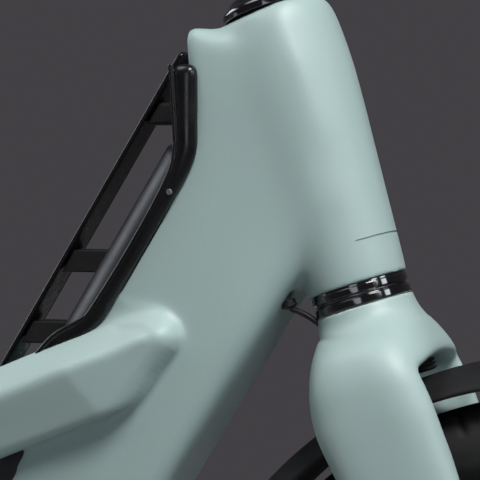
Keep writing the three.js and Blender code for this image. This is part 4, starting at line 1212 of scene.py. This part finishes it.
def build_running_boards():
    middle, level = -180.0, 282.0
    slots = [rounded_box_loop(58, 10, 4.6, (-80 + i * 72, y)) for i in range(6) for y in (-34, 34)]
    board = flat_piece("board", [rounded_box_loop(460, 104, 16, (100, 0))] + slots, 14.0,
                       on_bike(0, middle, level), UP, FORWARD, 3.0)
    ribs = [box_piece((430, 5, 4.4), on_bike(100, middle - 22 + i * 11, level + 7.6), bevel=1.2)
            for i in range(5)]
    arms = [box_piece((30, 38, 10), on_bike(x, -111, level), bevel=2.0) for x in (-60, 262)]
    studs = [bolt(on_bike(x, -104, level + 5), UP, 4.2, 2.4) for x in (-60, 262)]
    both(merged("board", [board] + ribs + arms + studs), "board", GUARD_PLASTIC, "frame", "running_board")


def build_tail_light():
    lamp = on_bike(-331, 0, 574)
    housing = box_piece((8, 110, 34), lamp + [5, 0, 0], bevel=2.5)
    finish_piece(housing, TRIM_PLASTIC, "frame", ["tail_light"])
    housing.name = "tail_light_housing"
    lens = [box_piece((9, 104, 28), lamp + [-4.4, 0, 0], bevel=3)]
    lens += [box_piece((1.6, 98, 1.4), lamp + [-8.0, 0, z], bevel=0.4) for z in (-9, -4.5, 0, 4.5, 9)]
    assembled("tail_light_lens", lens, RED, "frame", ["tail_light"])


# ---------- mudguards ----------

GUARD_RADIUS = 284.0
GUARD_HALF_WIDTH = 37.0
STEERING_LEAN = math.radians(18)


def mudguard_section():
    """Pairs of (across, from the axle): an outer skin, rolled edges and an inner skin."""
    us = np.linspace(-1, 1, 33)
    outer = [(GUARD_HALF_WIDTH * u, GUARD_RADIUS - 14 * abs(u) ** 2.5 + 0.9 * math.exp(-((u / 0.16) ** 2)))
             for u in us]
    inner = [(34.9 * u, GUARD_RADIUS - 2.4 - 14 * abs(u) ** 2.5) for u in us[::-1][1:-1]]
    lip = [(GUARD_HALF_WIDTH, 268.6), (36.0, 267.6), (34.9, 268.2)]
    return outer + lip + inner + [(-y, r) for y, r in lip[::-1]]


def mudguard(axle, start, end, steps=150):
    """A curved shell with rolled edges and a shallow middle ridge."""
    loop = mudguard_section()
    vertices = []
    for t in np.linspace(0.0, 1.0, steps + 1):
        from_end = min(t, 1 - t) * (end - start) * 285.0
        pull = 1.0 - 0.25 * (1.0 - math.sqrt(1.0 - (1.0 - min(from_end / 26.0, 1.0)) ** 2))
        vertices += [beside(axle, r, lerp(start, end, t), y * pull) for y, r in loop]
    return face_out(mesh_object("guard", vertices, ring_faces(steps + 1, len(loop)), sharp_degrees=50))


def build_mudguards():
    rear = mudguard(REAR_AXLE, math.radians(18), math.radians(200))
    seat = box_piece((26, 40, 5), REAR_AXLE + [0, 0, 286.5], bevel=1.6)
    assembled("rear_guard", [rear, seat], GUARD_PLASTIC, "frame", ["rear_mudguard"])
    parts = [mudguard(FRONT_AXLE, math.radians(48) + STEERING_LEAN, math.radians(206) + STEERING_LEAN)]
    for out in (-ACROSS, ACROSS):
        root = beside(FRONT_AXLE, 272.0, math.radians(196) + STEERING_LEAN) + out * 37.6
        tip = FRONT_AXLE + STEER_FORWARD * -25 + STEER_UP * -4 + out * 47.6
        bend = root + unit(tip - root) * 22 + out * 3.0
        parts.append(round_bar("stay", [root, bend, (root + tip) / 2 + out * 2.0, tip], 2.4, 40, 14))
        parts.append(rod(root - out * 1.6, root + out * 3.0, 6.5))
        parts.append(bolt(root + out * 3.0, out, 3.4, 2.2))
        parts.append(rod(tip - out * 3.0, tip + out * 3.0, 5.5))
    assembled("front_guard", parts, GUARD_PLASTIC, "steering", ["front_mudguard"])


# ---------- wheels and brakes ----------

TYRE_MIDDLE_RADIUS = 229.9
TYRE_SECTION_RADIUS = 29.4
TREAD_BLOCKS = 90
TREAD_DEPTH = 2.0
SPOKES = 32
DISC_RADIUS = 79.8
DISC_SIDE = 41.0


def between(low, x, high):
    return (x > low) & (x < high)


def make_tyre(axle):
    around_count, across_count = ((720, 45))
    thetas = np.linspace(-math.radians(128), math.radians(128), across_count)
    a, th = np.meshgrid(full_turn(around_count), thetas, indexing="ij")
    degrees = np.degrees(np.abs(th))
    radius = TYRE_SECTION_RADIUS - 0.5 * smoothstep(30, 90, degrees)
    pitch = np.mod(a * TREAD_BLOCKS / (2 * math.pi) + 0.45 * degrees / 58 + np.where(th > 0, 0.5, 0.0), 1.0)
    groove = (pitch < 0.24) & (degrees > 13) | between(10, degrees, 15) | between(35, degrees, 39)
    radius = radius - np.where(groove & (degrees < 60), TREAD_DEPTH, 0.0)
    radius = radius + 0.5 * between(76, degrees, 80) + 0.5 * between(104, degrees, 108)
    r = TYRE_MIDDLE_RADIUS + radius * np.cos(th)
    way = np.stack([np.cos(a), np.zeros_like(a), np.sin(a)], -1)
    vertices = axle + way * r[..., None] + ACROSS * (radius * np.sin(th))[..., None]
    faces = ring_faces(around_count, across_count, closed_loop=True)
    return face_out(mesh_object("tyre", vertices.reshape(-1, 3), faces, sharp_degrees=40))


def two_sided(half):
    """A profile that is the same on both sides of the wheel, from its outer half."""
    return [(r, -y) for r, y in half] + half[::-1]


def make_rim(axle, hub_half, axle_half, driver):
    rim = lathe("rim", [(199.5, -15), (199.5, -13.2), (196, -12.4), (194.5, -11), (194.5, 11), (196, 12.4),
                        (199.5, 13.2), (199.5, 15), (192, 14.6), (187.5, 9), (186, 4), (186, -4), (187.5, -9),
                        (192, -14.6)], 0.7, axle, ACROSS, 180, steps=3)
    hub = two_sided([(6.0, hub_half), (14, hub_half), (15.6, hub_half - 2), (15.6, 36), (30, 34.6),
                     (31, 33.4), (31, 31), (29, 29.8), (18, 24), (15.2, 18)])
    hub = lathe("hub", hub, 0.7, axle, ACROSS, steps=3)
    parts = [rim, hub, rod(axle - ACROSS * axle_half, axle + ACROSS * axle_half, 6.0, edge=1.0)]
    if driver:
        parts.append(ring(17, 8, -57.5, -36, axle, ACROSS))
    return merged("rim", parts)


def make_spokes(axle):
    """Crossed spokes, each with its nipple at the rim and its bent head at the hub's flange."""
    steel = []
    for i, outer in enumerate(full_turn(SPOKES)):
        side = 1 if i % 2 else -1
        start = beside(axle, 28.6, outer + (0.62 if i % 4 < 2 else -0.62), side * 32.4)
        end = beside(axle, 186.5, outer, side * 4)
        steel.append(rod(start, end, 1.0, edge=0.2, segments=8))
        steel.append(rod(end + (start - end) * 0.07, end, 1.9, edge=0.4, segments=10))
        steel.append(rod(start - ACROSS * 2.6, start + ACROSS * 2.6, 2.0, edge=0.5, segments=10))
    return merged("spokes", steel)


def window(base, inner, inner_angles, outer, outer_angles, corner):
    """A hole between two arcs, for discs and chainrings."""
    inside = [around(inner, base + t) for t in inner_angles]
    outside = [around(outer, base + t) for t in outer_angles]
    return smooth_outline(inside + outside, corner, 3)


def make_disc(axle):
    """A brake disc with a wavy edge, six windows and rows of small holes."""
    edge = [around(DISC_RADIUS - 1.1 * (1 - math.cos(12 * t)), t) for t in full_turn(240)]
    loops = [edge, circle(17.3, 60)]
    loops += [window(base, 30, np.linspace(0.2, 0.72, 10), 63, np.linspace(1.0, 0.28, 14), 1.5)
              for base in full_turn(6)]
    for k, t in enumerate(full_turn(36)):
        for radius, shift in ((68, 0.0), (72, 0.05), (76, 0.10)):
            if (k + (radius > 70)) % 3:
                loops.append(circle(1.7, 14, around(radius, t + shift)))
    disc = flat_piece("disc", loops, 1.8, axle + ACROSS * (DISC_SIDE + 0.9), -ACROSS, FORWARD, 0.2)
    bolts = [bolt(beside(axle, 22, t, DISC_SIDE + 1.8), ACROSS, 2.6, 1.4) for t in full_turn(6)]
    return merged("disc", [disc] + bolts)


def build_caliper(end, body, axle, offset, outer_y):
    """Two halves over the disc, joined outside its rim, with a piston cap and bolts."""
    out = unit(offset)
    along = unit(np.cross(ACROSS, out))
    centre = axle + offset
    parts = [box_piece((50, high - low, 34), centre + ACROSS * (low + high) / 2, along, out, 2.4)
             for low, high in ((34.0, 39.2), (44.8, outer_y))]
    bridge = centre + out * 9.6 + ACROSS * (34.2 + outer_y) / 2
    parts.append(box_piece((42, outer_y - 34.4, 14), bridge, along, out, 2.4))
    parts += [bolt(centre + along * x + out * 16.4 + ACROSS * 43, out, 3.6, 2.4) for x in (-19, 19)]
    piston = centre - out * 4 + ACROSS * outer_y
    parts.append(ring(10.5, 4.0, -1.0, 0.9, piston, ACROSS, 0.5, 48))
    parts.append(rod(piston - ACROSS, piston + ACROSS * 0.3, 4.4))
    assembled(end + "_caliper_body", parts, BLACK_METAL, body, [end + "_caliper"])


def build_wheels():
    for end, axle, half, axle_half in (("front", FRONT_AXLE, 47, 58), ("rear", REAR_AXLE, 64.5, 74)):
        tyre = make_tyre(axle)
        rim = make_rim(axle, half, axle_half, driver=end == "rear")
        for obj, name, material, node in ((tyre, "_tyre_tread", TYRE, "_tyre"),
                                          (rim, "_rim_hub", BLACK_METAL, "_rim"),
                                          (make_spokes(axle), "_spokes", STEEL, "_rim"),
                                          (make_disc(axle), "_brake_disc", STEEL, "_disc")):
            obj.name = end + name
            finish_piece(obj, material, end + "_wheel", [end + node])
    build_caliper("front", "steering", FRONT_AXLE, -66 * STEER_FORWARD + 52 * STEER_UP, 52.0)
    build_caliper("rear", "frame", REAR_AXLE, 66 * FORWARD + 50 * UP, 60.0)


# ---------- drive ----------

BELT_Y = -50.0
BELT_HALF_WIDTH = 4.6
BELT_PLACES = 1260
CHAINRING_RADIUS = 48.0
COG_RADIUS = 34.0
CRANK_LENGTH = 165
CRANK_SIDE = 86
PEDAL_SIDE = 144


def belt_loop(extra):
    """Places round the belt's path, extra millimetres outside it."""
    span, rise = CRANK[0] - REAR_AXLE[0], CRANK[2] - REAR_AXLE[2]
    tilt = math.atan2(rise, span)
    lap = math.pi / 2 + math.asin((CHAINRING_RADIUS - COG_RADIUS) / math.hypot(span, rise))
    arcs = ((CRANK, CHAINRING_RADIUS, tilt - lap, tilt + lap, 160),
            (REAR_AXLE, COG_RADIUS, tilt + lap, tilt - lap + 2 * math.pi, 120))
    points = [around(radius + extra, t, (centre[0], centre[2]))
              for centre, radius, start, end, count in arcs for t in np.linspace(start, end, count)]
    return along_path(points + points[:1], BELT_PLACES, end=False)


def build_belt():
    outer, tips, roots = belt_loop(3.5), belt_loop(0.5), belt_loop(1.9)
    vertices = []
    for i in range(BELT_PLACES):
        inner = tips[i] if i % 6 < 3 else roots[i]
        for (x, z), side in ((outer[i], -1), (outer[i], 1), (inner, 1), (inner, -1)):
            vertices.append((x, BELT_Y + side * BELT_HALF_WIDTH, z))
    faces = ring_faces(BELT_PLACES, 4, closed_loop=True)
    belt = face_out(mesh_object("belt_teeth", vertices, faces, sharp_degrees=30))
    finish_piece(belt, RUBBER, "frame", ["drive_belt"])


def toothed(radius, teeth):
    return [around(radius - (1.6 if k % 4 > 1 else 0.0), t) for k, t in enumerate(full_turn(4 * teeth))]


def crank_section(t):
    return oval(6.4, 14.5 - 2.1 * math.sin(t * math.pi) ** 0.8 - 2 * t, 3.4, 40)


def build_cranks():
    windows = [window(base, 19, np.linspace(0.3, 0.95, 6), 37, np.linspace(1.05, 0.2, 10), 2)
               for base in full_turn(5)]
    at = CRANK + ACROSS * BELT_Y
    parts = [flat_piece("ring", [toothed(47.8, 46)] + windows, 9.6, at, -ACROSS, FORWARD, 0.3),
             ring(49.6, 40, -5.6, -4.8, at, ACROSS, 0.3), rod(CRANK - ACROSS * 91, CRANK + ACROSS * 91, 9.8)]
    for s in (-1, 1):
        root = CRANK + [0, s * CRANK_SIDE, 0]
        end = root + [s * CRANK_LENGTH, 0, 0]
        parts.append(swept("arm", catmull([root, root + [s * 82, 0, 0], end], 40), crank_section))
        for place, radius in ((root, 18), (end, 14)):
            parts.append(rod(place - [0, s * 6.8, 0], place + [0, s * 6.8, 0], radius, edge=1.8, segments=64))
        parts.append(bolt(root + [0, s * 6.8, 0], s * ACROSS, 9.0, 1.8))
        parts.append(rod(end, end + [0, s * 100, 0], 5))
    assembled("crank_arms", parts, BLACK_METAL, "cranks", ["crankset"])


def build_sprocket():
    holes = [circle(4.2, 24, around(25.5, t)) for t in full_turn(8)]
    sprocket = flat_piece("rear_cog", [toothed(33.8, 32), circle(17.5, 60)] + holes, 9.6,
                          REAR_AXLE + ACROSS * BELT_Y, -ACROSS, FORWARD, 0.3)
    finish_piece(sprocket, STEEL, "sprocket", ["rear_sprocket"])


def build_pedals():
    pin_places = [(x, y) for x in (-44, 44) for y in (-34, -12, 12, 34)]
    pin_places += [(x, y) for x in (-22, 22) for y in (-40, 40)]
    for side, s in (("left", 1), ("right", -1)):
        centre = CRANK + [s * CRANK_LENGTH, s * PEDAL_SIDE, 0]
        windows = [rounded_box_loop(27, 66, 6, (x, 0)) for x in (-29.5, 29.5)]
        cage = flat_piece("cage", [rounded_box_loop(96, 92, 12)] + windows, 15.0, centre, UP, FORWARD, 2.2)
        barrel = ring(11.5, 5.6, -44, 44, centre, ACROSS, 2.0, 64)
        pins = [rod(centre + [x, y, -9.6], centre + [x, y, 9.6], 1.7, edge=0.5, segments=14)
                for x, y in pin_places]
        assembled("pedal_cage_" + side, [cage, barrel], GUARD_PLASTIC, side + "_pedal", ["pedal_" + side])
        assembled("pedal_pins_" + side, pins, STEEL, side + "_pedal", ["pedal_" + side])


def across_rod(y_from, y_to, radius, **shape):
    """A bar along the stand's axle."""
    return rod(STAND + ACROSS * y_from, STAND + ACROSS * y_to, radius, **shape)


def build_stand():
    parts = [across_rod(-62, 62, 8), across_rod(-27, 27, 12, edge=1.5)]
    feet = []
    for s in (-1, 1):
        sole = np.array([STAND[0] - 22, s * 158, 0])
        parts.append(rod(STAND + ACROSS * s * 56, sole + UP * 11, 9))
        parts.append(across_rod(s * 47, s * 66, 12, edge=1.5))
        parts.append(bolt(STAND + ACROSS * s * 65, s * ACROSS, 5, 2.5))
        parts.append(box_piece((50, 28, 5), sole + UP * 10.8, bevel=1.6))
        feet.append(box_piece((56, 34, 9), sole + UP * 4.6, bevel=2.2))
        feet += [box_piece((2.2, 33.6, 9.2), sole + [x, 0, 4.7], bevel=0.5) for x in (-27, 27)]
    assembled("stand_legs", parts, BLACK_METAL, "stand", ["kickstand"])
    assembled("stand_feet", feet, RUBBER, "stand", ["kickstand"])


# ---------- seat ----------

CLAMP_BOTTOM = 234.0
CLAMP_TOP = 252.0
CLAMP_MIDDLE = CLAMP_BOTTOM + 9
POST_TOP = 470
SADDLE_CENTRE = on_seat_tube(-2, 0, 520)
# Along the saddle: place, half width and height.
SADDLE_SIZES = [(-129, 60, 15), (-124, 78, 23), (-112, 96, 30), (-85, 100, 33), (-60, 98, 33),
                (-30, 84, 31.5), (-5, 66, 30), (22, 47, 28.5), (50, 34, 27), (80, 28, 25), (110, 24.5, 22),
                (130, 20, 17), (141, 11, 9)]


def build_clamp():
    skewer = on_seat_tube(-29, 0, CLAMP_MIDDLE)
    collar = [(19.3, CLAMP_BOTTOM), (24, CLAMP_BOTTOM), (24, CLAMP_TOP), (19.3, CLAMP_TOP)]
    clamp = [lathe("collar", collar, 1.2, SEAT_FOOT, SEAT_UP, 96, SEAT_FORWARD)]
    clamp += [box_piece((14, 10, 16), on_seat_tube(-28, y, CLAMP_MIDDLE), SEAT_FORWARD, SEAT_UP, 1.8)
              for y in (-8, 8)]
    clamp += [rod(skewer - ACROSS * 17, skewer + ACROSS * 13.4, 3),
              rod(skewer - ACROSS * 18, skewer - ACROSS * 12.6, 6, edge=1.2, segments=6)]
    assembled("clamp_collar", clamp, BLACK_METAL, "frame", ["seat_clamp"])
    pivot = skewer + ACROSS * 19
    route = [pivot] + [on_seat_tube(x, y, CLAMP_MIDDLE) for x, y in ((-18, 28), (4, 33), (24, 30))]
    blade = swept("blade", catmull(route, 40), lambda t: oval(2.9 - 1.2 * t * t, 4.9, 2.6, 28), up=SEAT_UP)
    boss = rod(pivot - SEAT_UP * 6, pivot + SEAT_UP * 6, 5, edge=1.0)
    assembled("clamp_blade", [blade, boss], BLACK_METAL, "clamp_lever", ["seat_clamp_lever"])


def build_seatpost():
    head = on_seat_tube(0, 0, POST_TOP)
    post = [rod(on_seat_tube(0, 0, 60), head - SEAT_UP * 2, 13.6, segments=72),
            box_piece((50, 42, 12), head - UP * 3, bevel=3), box_piece((46, 44, 8), head + UP * 7, bevel=2.5)]
    post += [bolt(head + [x, 0, 11], UP, 4.2, 3) for x in (-17, 17)]
    assembled("post_and_head", post, BLACK_METAL, "seat", ["seatpost"])
    route = [(-92, 40, 0), (-60, 24, -26), (-20, 22, -37), (30, 22, -37), (80, 16, -22), (112, 9, -6)]
    rails = [round_bar("rail", [SADDLE_CENTRE + [x, s * y, z] for x, y, z in route], 3.5, 60, 16)
             for s in (-1, 1)]
    assembled("saddle_rails", rails, STEEL, "seat")


def saddle_place(along, half, height, angle):
    """A place on the padded cover, with its middle channel, its seams and its hollow underside."""
    c, s = math.cos(angle), math.sin(angle)
    y = math.copysign(abs(c) ** 0.85, c) * half
    z = math.copysign(abs(s) ** 0.9, s) * height * (1.0 if s > 0 else 0.5)
    if s > 0:
        channel = math.exp(-((y / 9.0) ** 2)) * smoothstep(-118, -80, along) * smoothstep(70, 20, along)
        seam = math.exp(-(((abs(y) - 0.62 * half) / 1.3) ** 2)) * smoothstep(8, 30, half)
        z -= 5.0 * channel + seam
    else:
        z += 4.0 * math.exp(-((c * 1.5) ** 2))
    return SADDLE_CENTRE + [along, y, 8.0 + z + 0.03 * along]


def build_saddle():
    rows, sides = catmull(SADDLE_SIZES, 110), 96
    vertices = [saddle_place(*row, angle) for row in rows for angle in full_turn(sides)]
    saddle = face_out(mesh_object("saddle_pad", vertices, ring_faces(len(rows), sides), sharp_degrees=60))
    finish_piece(saddle, COVER, "seat", ["saddle"])


# ---------- stem, handlebar and controls ----------

BAR_HEIGHT = 478.0
GRIP_START = np.array([8.0, 212.0, 510.0])
GRIP_END = np.array([-46.0, 338.0, 510.0])
GRIP_WAY = unit(GRIP_END - GRIP_START)
CONTROLS = GRIP_START - 16 * GRIP_WAY
DISPLAY_AT = on_steering(66, 0, 512)
DISPLAY_TILT = math.radians(2)
DISPLAY_FORWARD = math.cos(DISPLAY_TILT) * STEER_FORWARD + math.sin(DISPLAY_TILT) * STEER_UP
DISPLAY_UP = np.cross(DISPLAY_FORWARD, ACROSS)
BUTTON_AT = (-23, 0)


def steering_rod(start, end, radius, **shape):
    return rod(on_steering(*start), on_steering(*end), radius, **shape)


def build_stem():
    quill = [(14.8, 249), (21, 249), (21, 303), (17.6, 309), (17.2, 452), (16, 460), (0.01, 460), (0.01, 304),
             (14.8, 303)]
    parts = [ring(21, 14.8, 207.8 + 10.2 * i, 217.4 + 10.2 * i, HEADSET, STEER_UP, 0.9) for i in range(4)]
    parts += [lathe("quill", quill, 1.5, HEADSET, STEER_UP, 96, STEER_FORWARD),
              steering_rod((-6, 0, 447), (40, 0, 474), 17, end_radius=18, edge=4),
              ring(23, 15.9, -24, 24, on_steering(52, 0, BAR_HEIGHT), ACROSS, 1.6)]
    for z in (262, 290):
        parts.append(steering_rod((-22, -12, z), (-22, 12, z), 4.5))
        parts.append(bolt(on_steering(-22, -12, z), -ACROSS, 4.2, 2.2))
    for y in (-17, 17):
        for z in (BAR_HEIGHT - 19, BAR_HEIGHT + 19):
            parts.append(steering_rod((62, y, z), (73, y, z), 4.2))
            parts.append(bolt(on_steering(73, y, z), STEER_FORWARD, 3.4, 2.0))
    for size, x, drop in (((8, 40, 5), 74, 28), ((6, 14, 30), 80, 32)):
        parts.append(box_piece(size, on_steering(x, 0, BAR_HEIGHT - drop), STEER_FORWARD, STEER_UP, 1.5))
    assembled("stem_body", parts, BLACK_METAL, "steering", ["stem"])


def bar_section(t):
    """Thick in the clamp, thinner towards the grips."""
    radius = 11.0 + 4.6 * float(smoothstep(62, 36, abs(lerp(-GRIP_END[1], GRIP_END[1], t))))
    return oval(radius, radius, sides=40)


def build_bar():
    half = [(52, 24, BAR_HEIGHT), (50, 70, 484), (34, 140, 504), (18, 186, 510), GRIP_START, GRIP_END]
    points = [(x, -y, z) for x, y, z in half[::-1]] + half
    parts = [swept("bar", catmull([on_steering(*p) for p in points], 200), bar_section)]
    for s in (-1, 1):
        side = np.array([1, s, 1])
        base, run = CONTROLS * side, GRIP_WAY * side
        parts.append(steering_rod(base - 7 * run, base + 7 * run, 15.8, edge=1.5, segments=64))
        parts.append(steering_rod(base, base + [34, s * 6, -2], 7))
        parts.append(steering_rod(base + [30, s * -26, -2], base + [36, s * 8, -2], 8.4, edge=2.0))
        parts.append(bolt(on_steering(*(base + [2, 0, 15])), STEER_UP, 3.2, 2.0))
    assembled("handlebar_tube", parts, BLACK_METAL, "steering", ["handlebar"])


def build_grips():
    profile = [(11.4, 0.4), (16.9, 1.0), (17.0, 3.0), (15.6, 4.6)]
    for i in range(34):
        z = 8 + i * 3.2
        swell = 15.2 + 1.5 * math.sin(min(1.0, i / 30) * math.pi / 1.3) ** 2
        profile += [(swell, z), (swell + 0.1, z + 1.9), (swell - 0.6, z + 2.3), (swell - 0.6, z + 2.9)]
    profile += [(16.6, 118.5), (17.0, 121.0), (16.4, 123.4), (11.4, 123.8)]
    right = np.array([1, -1, 1])
    start = on_steering(*((GRIP_START + 8 * GRIP_WAY) * right))
    axis = on_steering(*(GRIP_WAY * right)) - HEADSET
    both(turned("grip", profile, start, axis, 72, STEER_UP, 30), "grip_sleeve", RUBBER, "steering", "grip")


def lever_section(t):
    return oval(4.8 - 1.6 * t, 5.8 + t - 1.6 * math.sin(math.pi * t), 2.6, 32)


def build_levers():
    tip_profile = [(0, -6.6), (2.6, -6.0), (5.2, -3.4), (5.8, 0), (5.2, 3.4), (2.6, 6.0), (0, 6.6)]
    for side, s in (("left", 1), ("right", -1)):
        pivot = (CONTROLS + [45, 8, -2]) * [1, s, 1]
        route = [pivot + [x, s * y, z] for x, y, z in ((0, 0, 0), (8, 28, 0), (-10, 78, -4), (-33, 126, -6))]
        parts = [swept("blade", catmull([on_steering(*p) for p in route], 60), lever_section, up=STEER_UP),
                 turned("tip", tip_profile, on_steering(*route[-1]), STEER_UP, 32, STEER_FORWARD, 60),
                 steering_rod(pivot - 8 * UP, pivot + 8 * UP, 6, edge=1.2),
                 bolt(on_steering(*(pivot + 7 * UP)), STEER_UP, 3.4, 1.0)]
        assembled("lever_blade_" + side, parts, BLACK_METAL, side + "_lever", ["brake_lever_" + side])


def display_plate(name, loops, thickness, height, bevel):
    """A plate that lies level with the display."""
    place = DISPLAY_AT + DISPLAY_UP * height
    return flat_piece(name, loops, thickness, place, DISPLAY_UP, DISPLAY_FORWARD, bevel)


def build_display():
    well = rounded_box_loop(9, 21, 2, BUTTON_AT)
    strap_height = BAR_HEIGHT + 26.5
    parts = [display_plate("body", [rounded_box_loop(62, 86, 9), well], 11.8, 0.0, 1.6),
             display_plate("floor", [rounded_box_loop(12, 24, 2, BUTTON_AT)], 3.0, -3.0, 0.2),
             steering_rod((52, -9.8, strap_height), (52, 9.8, strap_height), 2.8)]
    assembled("display_body", parts, TRIM_PLASTIC, "steering", ["display"])
    glass = display_plate("display_glass", [rounded_box_loop(38, 74, 5, (5, 0))], 0.8, 5.7, 0.3)
    finish_piece(glass, SCREEN, "steering")
    centre = np.mean(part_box("display_button"), axis=0) / MM
    outline = rounded_box_loop(8, 20, 2.6)
    cap = flat_piece("button_cap", [outline], 3.9, centre, DISPLAY_UP, DISPLAY_FORWARD, 0.9)
    finish_piece(cap, RUBBER, "button", ["display_button"])


def build_front_light():
    start = on_steering(70, 0, 434)
    axis = unit(on_steering(112, 0, 428) - start)
    body = [(0.01, 0.2), (13, 0.2), (17, 5), (18.5, 10), (22.6, 34), (22.6, 39), (20, 39), (20, 36),
            (0.01, 36)]
    body = lathe("lamp", body, 1.0, start, axis, 96, UP)
    fins = [ring(19.4 + i, 14, 9 + 5 * i, 10.6 + 5 * i, start, axis, 0.4) for i in range(4)]
    assembled("lamp_body", [body] + fins, BLACK_METAL, "steering", ["front_light"])
    lens = turned("lamp_lens", [(0.0, 36.5), (19.6, 36.5), (19.6, 38.0), (17, 39.6), (11, 41.0), (5, 41.8),
                                (0.0, 42.0)], start, axis, 96, UP, 60)
    finish_piece(lens, LENS, "steering", ["front_light"])


def build_marks():
    """The thin plain line round the front of the head tube."""
    height, reach = 33.0, math.radians(62)
    radius = np.interp(height, HEAD_HEIGHTS, HEAD_RADII)
    corners = [(radius + 0.12, -0.2), (radius + 0.12, 0.2), (radius - 0.5, 0.2), (radius - 0.5, -0.2)]
    places = [on_steering(*around(r, angle), height + up)
              for angle in np.linspace(-reach, reach, 121) for r, up in corners]
    line = face_out(mesh_object("head_line", places, ring_faces(121, 4), sharp_degrees=40))
    finish_piece(line, DECAL, "frame")


for build in (build_front, build_headset, build_cable, build_boot, build_battery, build_trims, build_rail,
              build_side_tubes, build_keel, build_seat_tube, build_chainstays, build_motor, build_rack_sides,
              build_deck, build_running_boards, build_tail_light, build_mudguards, build_wheels, build_belt,
              build_cranks, build_sprocket, build_pedals, build_stand, build_clamp, build_seatpost,
              build_saddle, build_stem, build_bar, build_grips, build_levers, build_display,
              build_front_light, build_marks):
    build()

# ---------- floor, light and camera ----------


HEADSET_AIM = tuple(HEADSET * MM)
RACK_AIM = (-0.65, 0.0, 0.4)
COOL = (0.86, 0.93, 1.0)
WARM = (1.0, 0.985, 0.965)
FLOOR_HALF = (1900, 1700)
# Each light's name, place, target, width, height, power, colour and spread in degrees.
LIGHTS = [
    ("key", (1.37, -1.03, 2.38), HEADSET_AIM, 0.8, 0.8, 3.6, WARM, 40),
    ("over_rear", (-0.9, -0.5, 2.4), RACK_AIM, 1.5, 1.0, 6.0, (1.0, 1.0, 1.0), 90),
    ("panel_behind", (-1.35, 0.35, 1.25), HEADSET_AIM, 1.2, 0.8, 9.0, COOL, 180),
    ("panel_far", (2.31, -0.38, 1.42), HEADSET_AIM, 0.45, 0.5, 4.4, COOL, 180),
    ("panel_front", (2.0, -1.07, 1.42), HEADSET_AIM, 0.45, 0.5, 4.4, COOL, 180),
    ("panel_side", (0.64, -1.98, 0.86), HEADSET_AIM, 0.6, 0.5, 1.8, COOL, 180),
    ("panel_low", (-1.37, -0.52, 0.30), HEADSET_AIM, 0.4, 0.4, 0.4, COOL, 180),
]


def area_light(name, place, target, width, height, power, colour, spread):
    light = bpy.data.lights.new(name, "AREA")
    light.shape = "RECTANGLE"
    light.size = width
    light.size_y = height
    light.energy = power
    light.spread = math.radians(spread)
    light.color = colour
    obj = link(bpy.data.objects.new(name, light))
    obj.visible_camera = False
    obj.location = place
    obj.rotation_euler = (Vector(target) - Vector(place)).to_track_quat("-Z", "Y").to_euler()


def build_stage():
    x, y = FLOOR_HALF
    corners = [(-x, -y, 0), (x, -y, 0), (x, y, 0), (-x, y, 0)]
    floor = mesh_object("floor", corners, [(0, 1, 2, 3)], smooth=False)
    material = new_material("floor_paint", (0.38, 0.38, 0.375), 0.7)
    vary_roughness(material, noise(material, 3.0), 0.65, 0.8)
    floor.data.materials.append(material)
    world = bpy.data.worlds.new("studio")
    world.use_nodes = True
    world.node_tree.nodes["Background"].inputs["Color"].default_value = (0.055, 0.052, 0.0575, 1.0)
    world.node_tree.nodes["Background"].inputs["Strength"].default_value = 1.0
    bpy.context.scene.world = world
    for light in LIGHTS:
        area_light(*light)


CAMERA_AZIMUTH = math.radians(20)
CAMERA_ELEVATION = math.radians(2)
CAMERA_DISTANCE = 1.4
VIEW_WIDTH = 0.312
HEADSET_RIGHT = 0.0788
HEADSET_BELOW = 0.0357


def build_camera():
    towards = Vector((math.sin(CAMERA_AZIMUTH) * math.cos(CAMERA_ELEVATION),
                      -math.cos(CAMERA_AZIMUTH) * math.cos(CAMERA_ELEVATION), math.sin(CAMERA_ELEVATION)))
    turn = towards.to_track_quat("Z", "Y")
    right, up = turn @ Vector((1, 0, 0)), turn @ Vector((0, 1, 0))
    target = Vector(HEADSET * MM) - right * HEADSET_RIGHT + up * HEADSET_BELOW
    data = bpy.data.cameras.new("camera")
    data.sensor_width = 36.0
    data.lens = 36.0 * CAMERA_DISTANCE / VIEW_WIDTH
    data.clip_start = 0.05
    camera = link(bpy.data.objects.new("camera", data))
    camera.location = target + towards * CAMERA_DISTANCE
    camera.rotation_euler = turn.to_euler()
    bpy.context.scene.camera = camera


build_stage()
build_camera()

# The view transform keeps the paint's pale green as it is.
bpy.context.scene.view_settings.view_transform = "Standard"
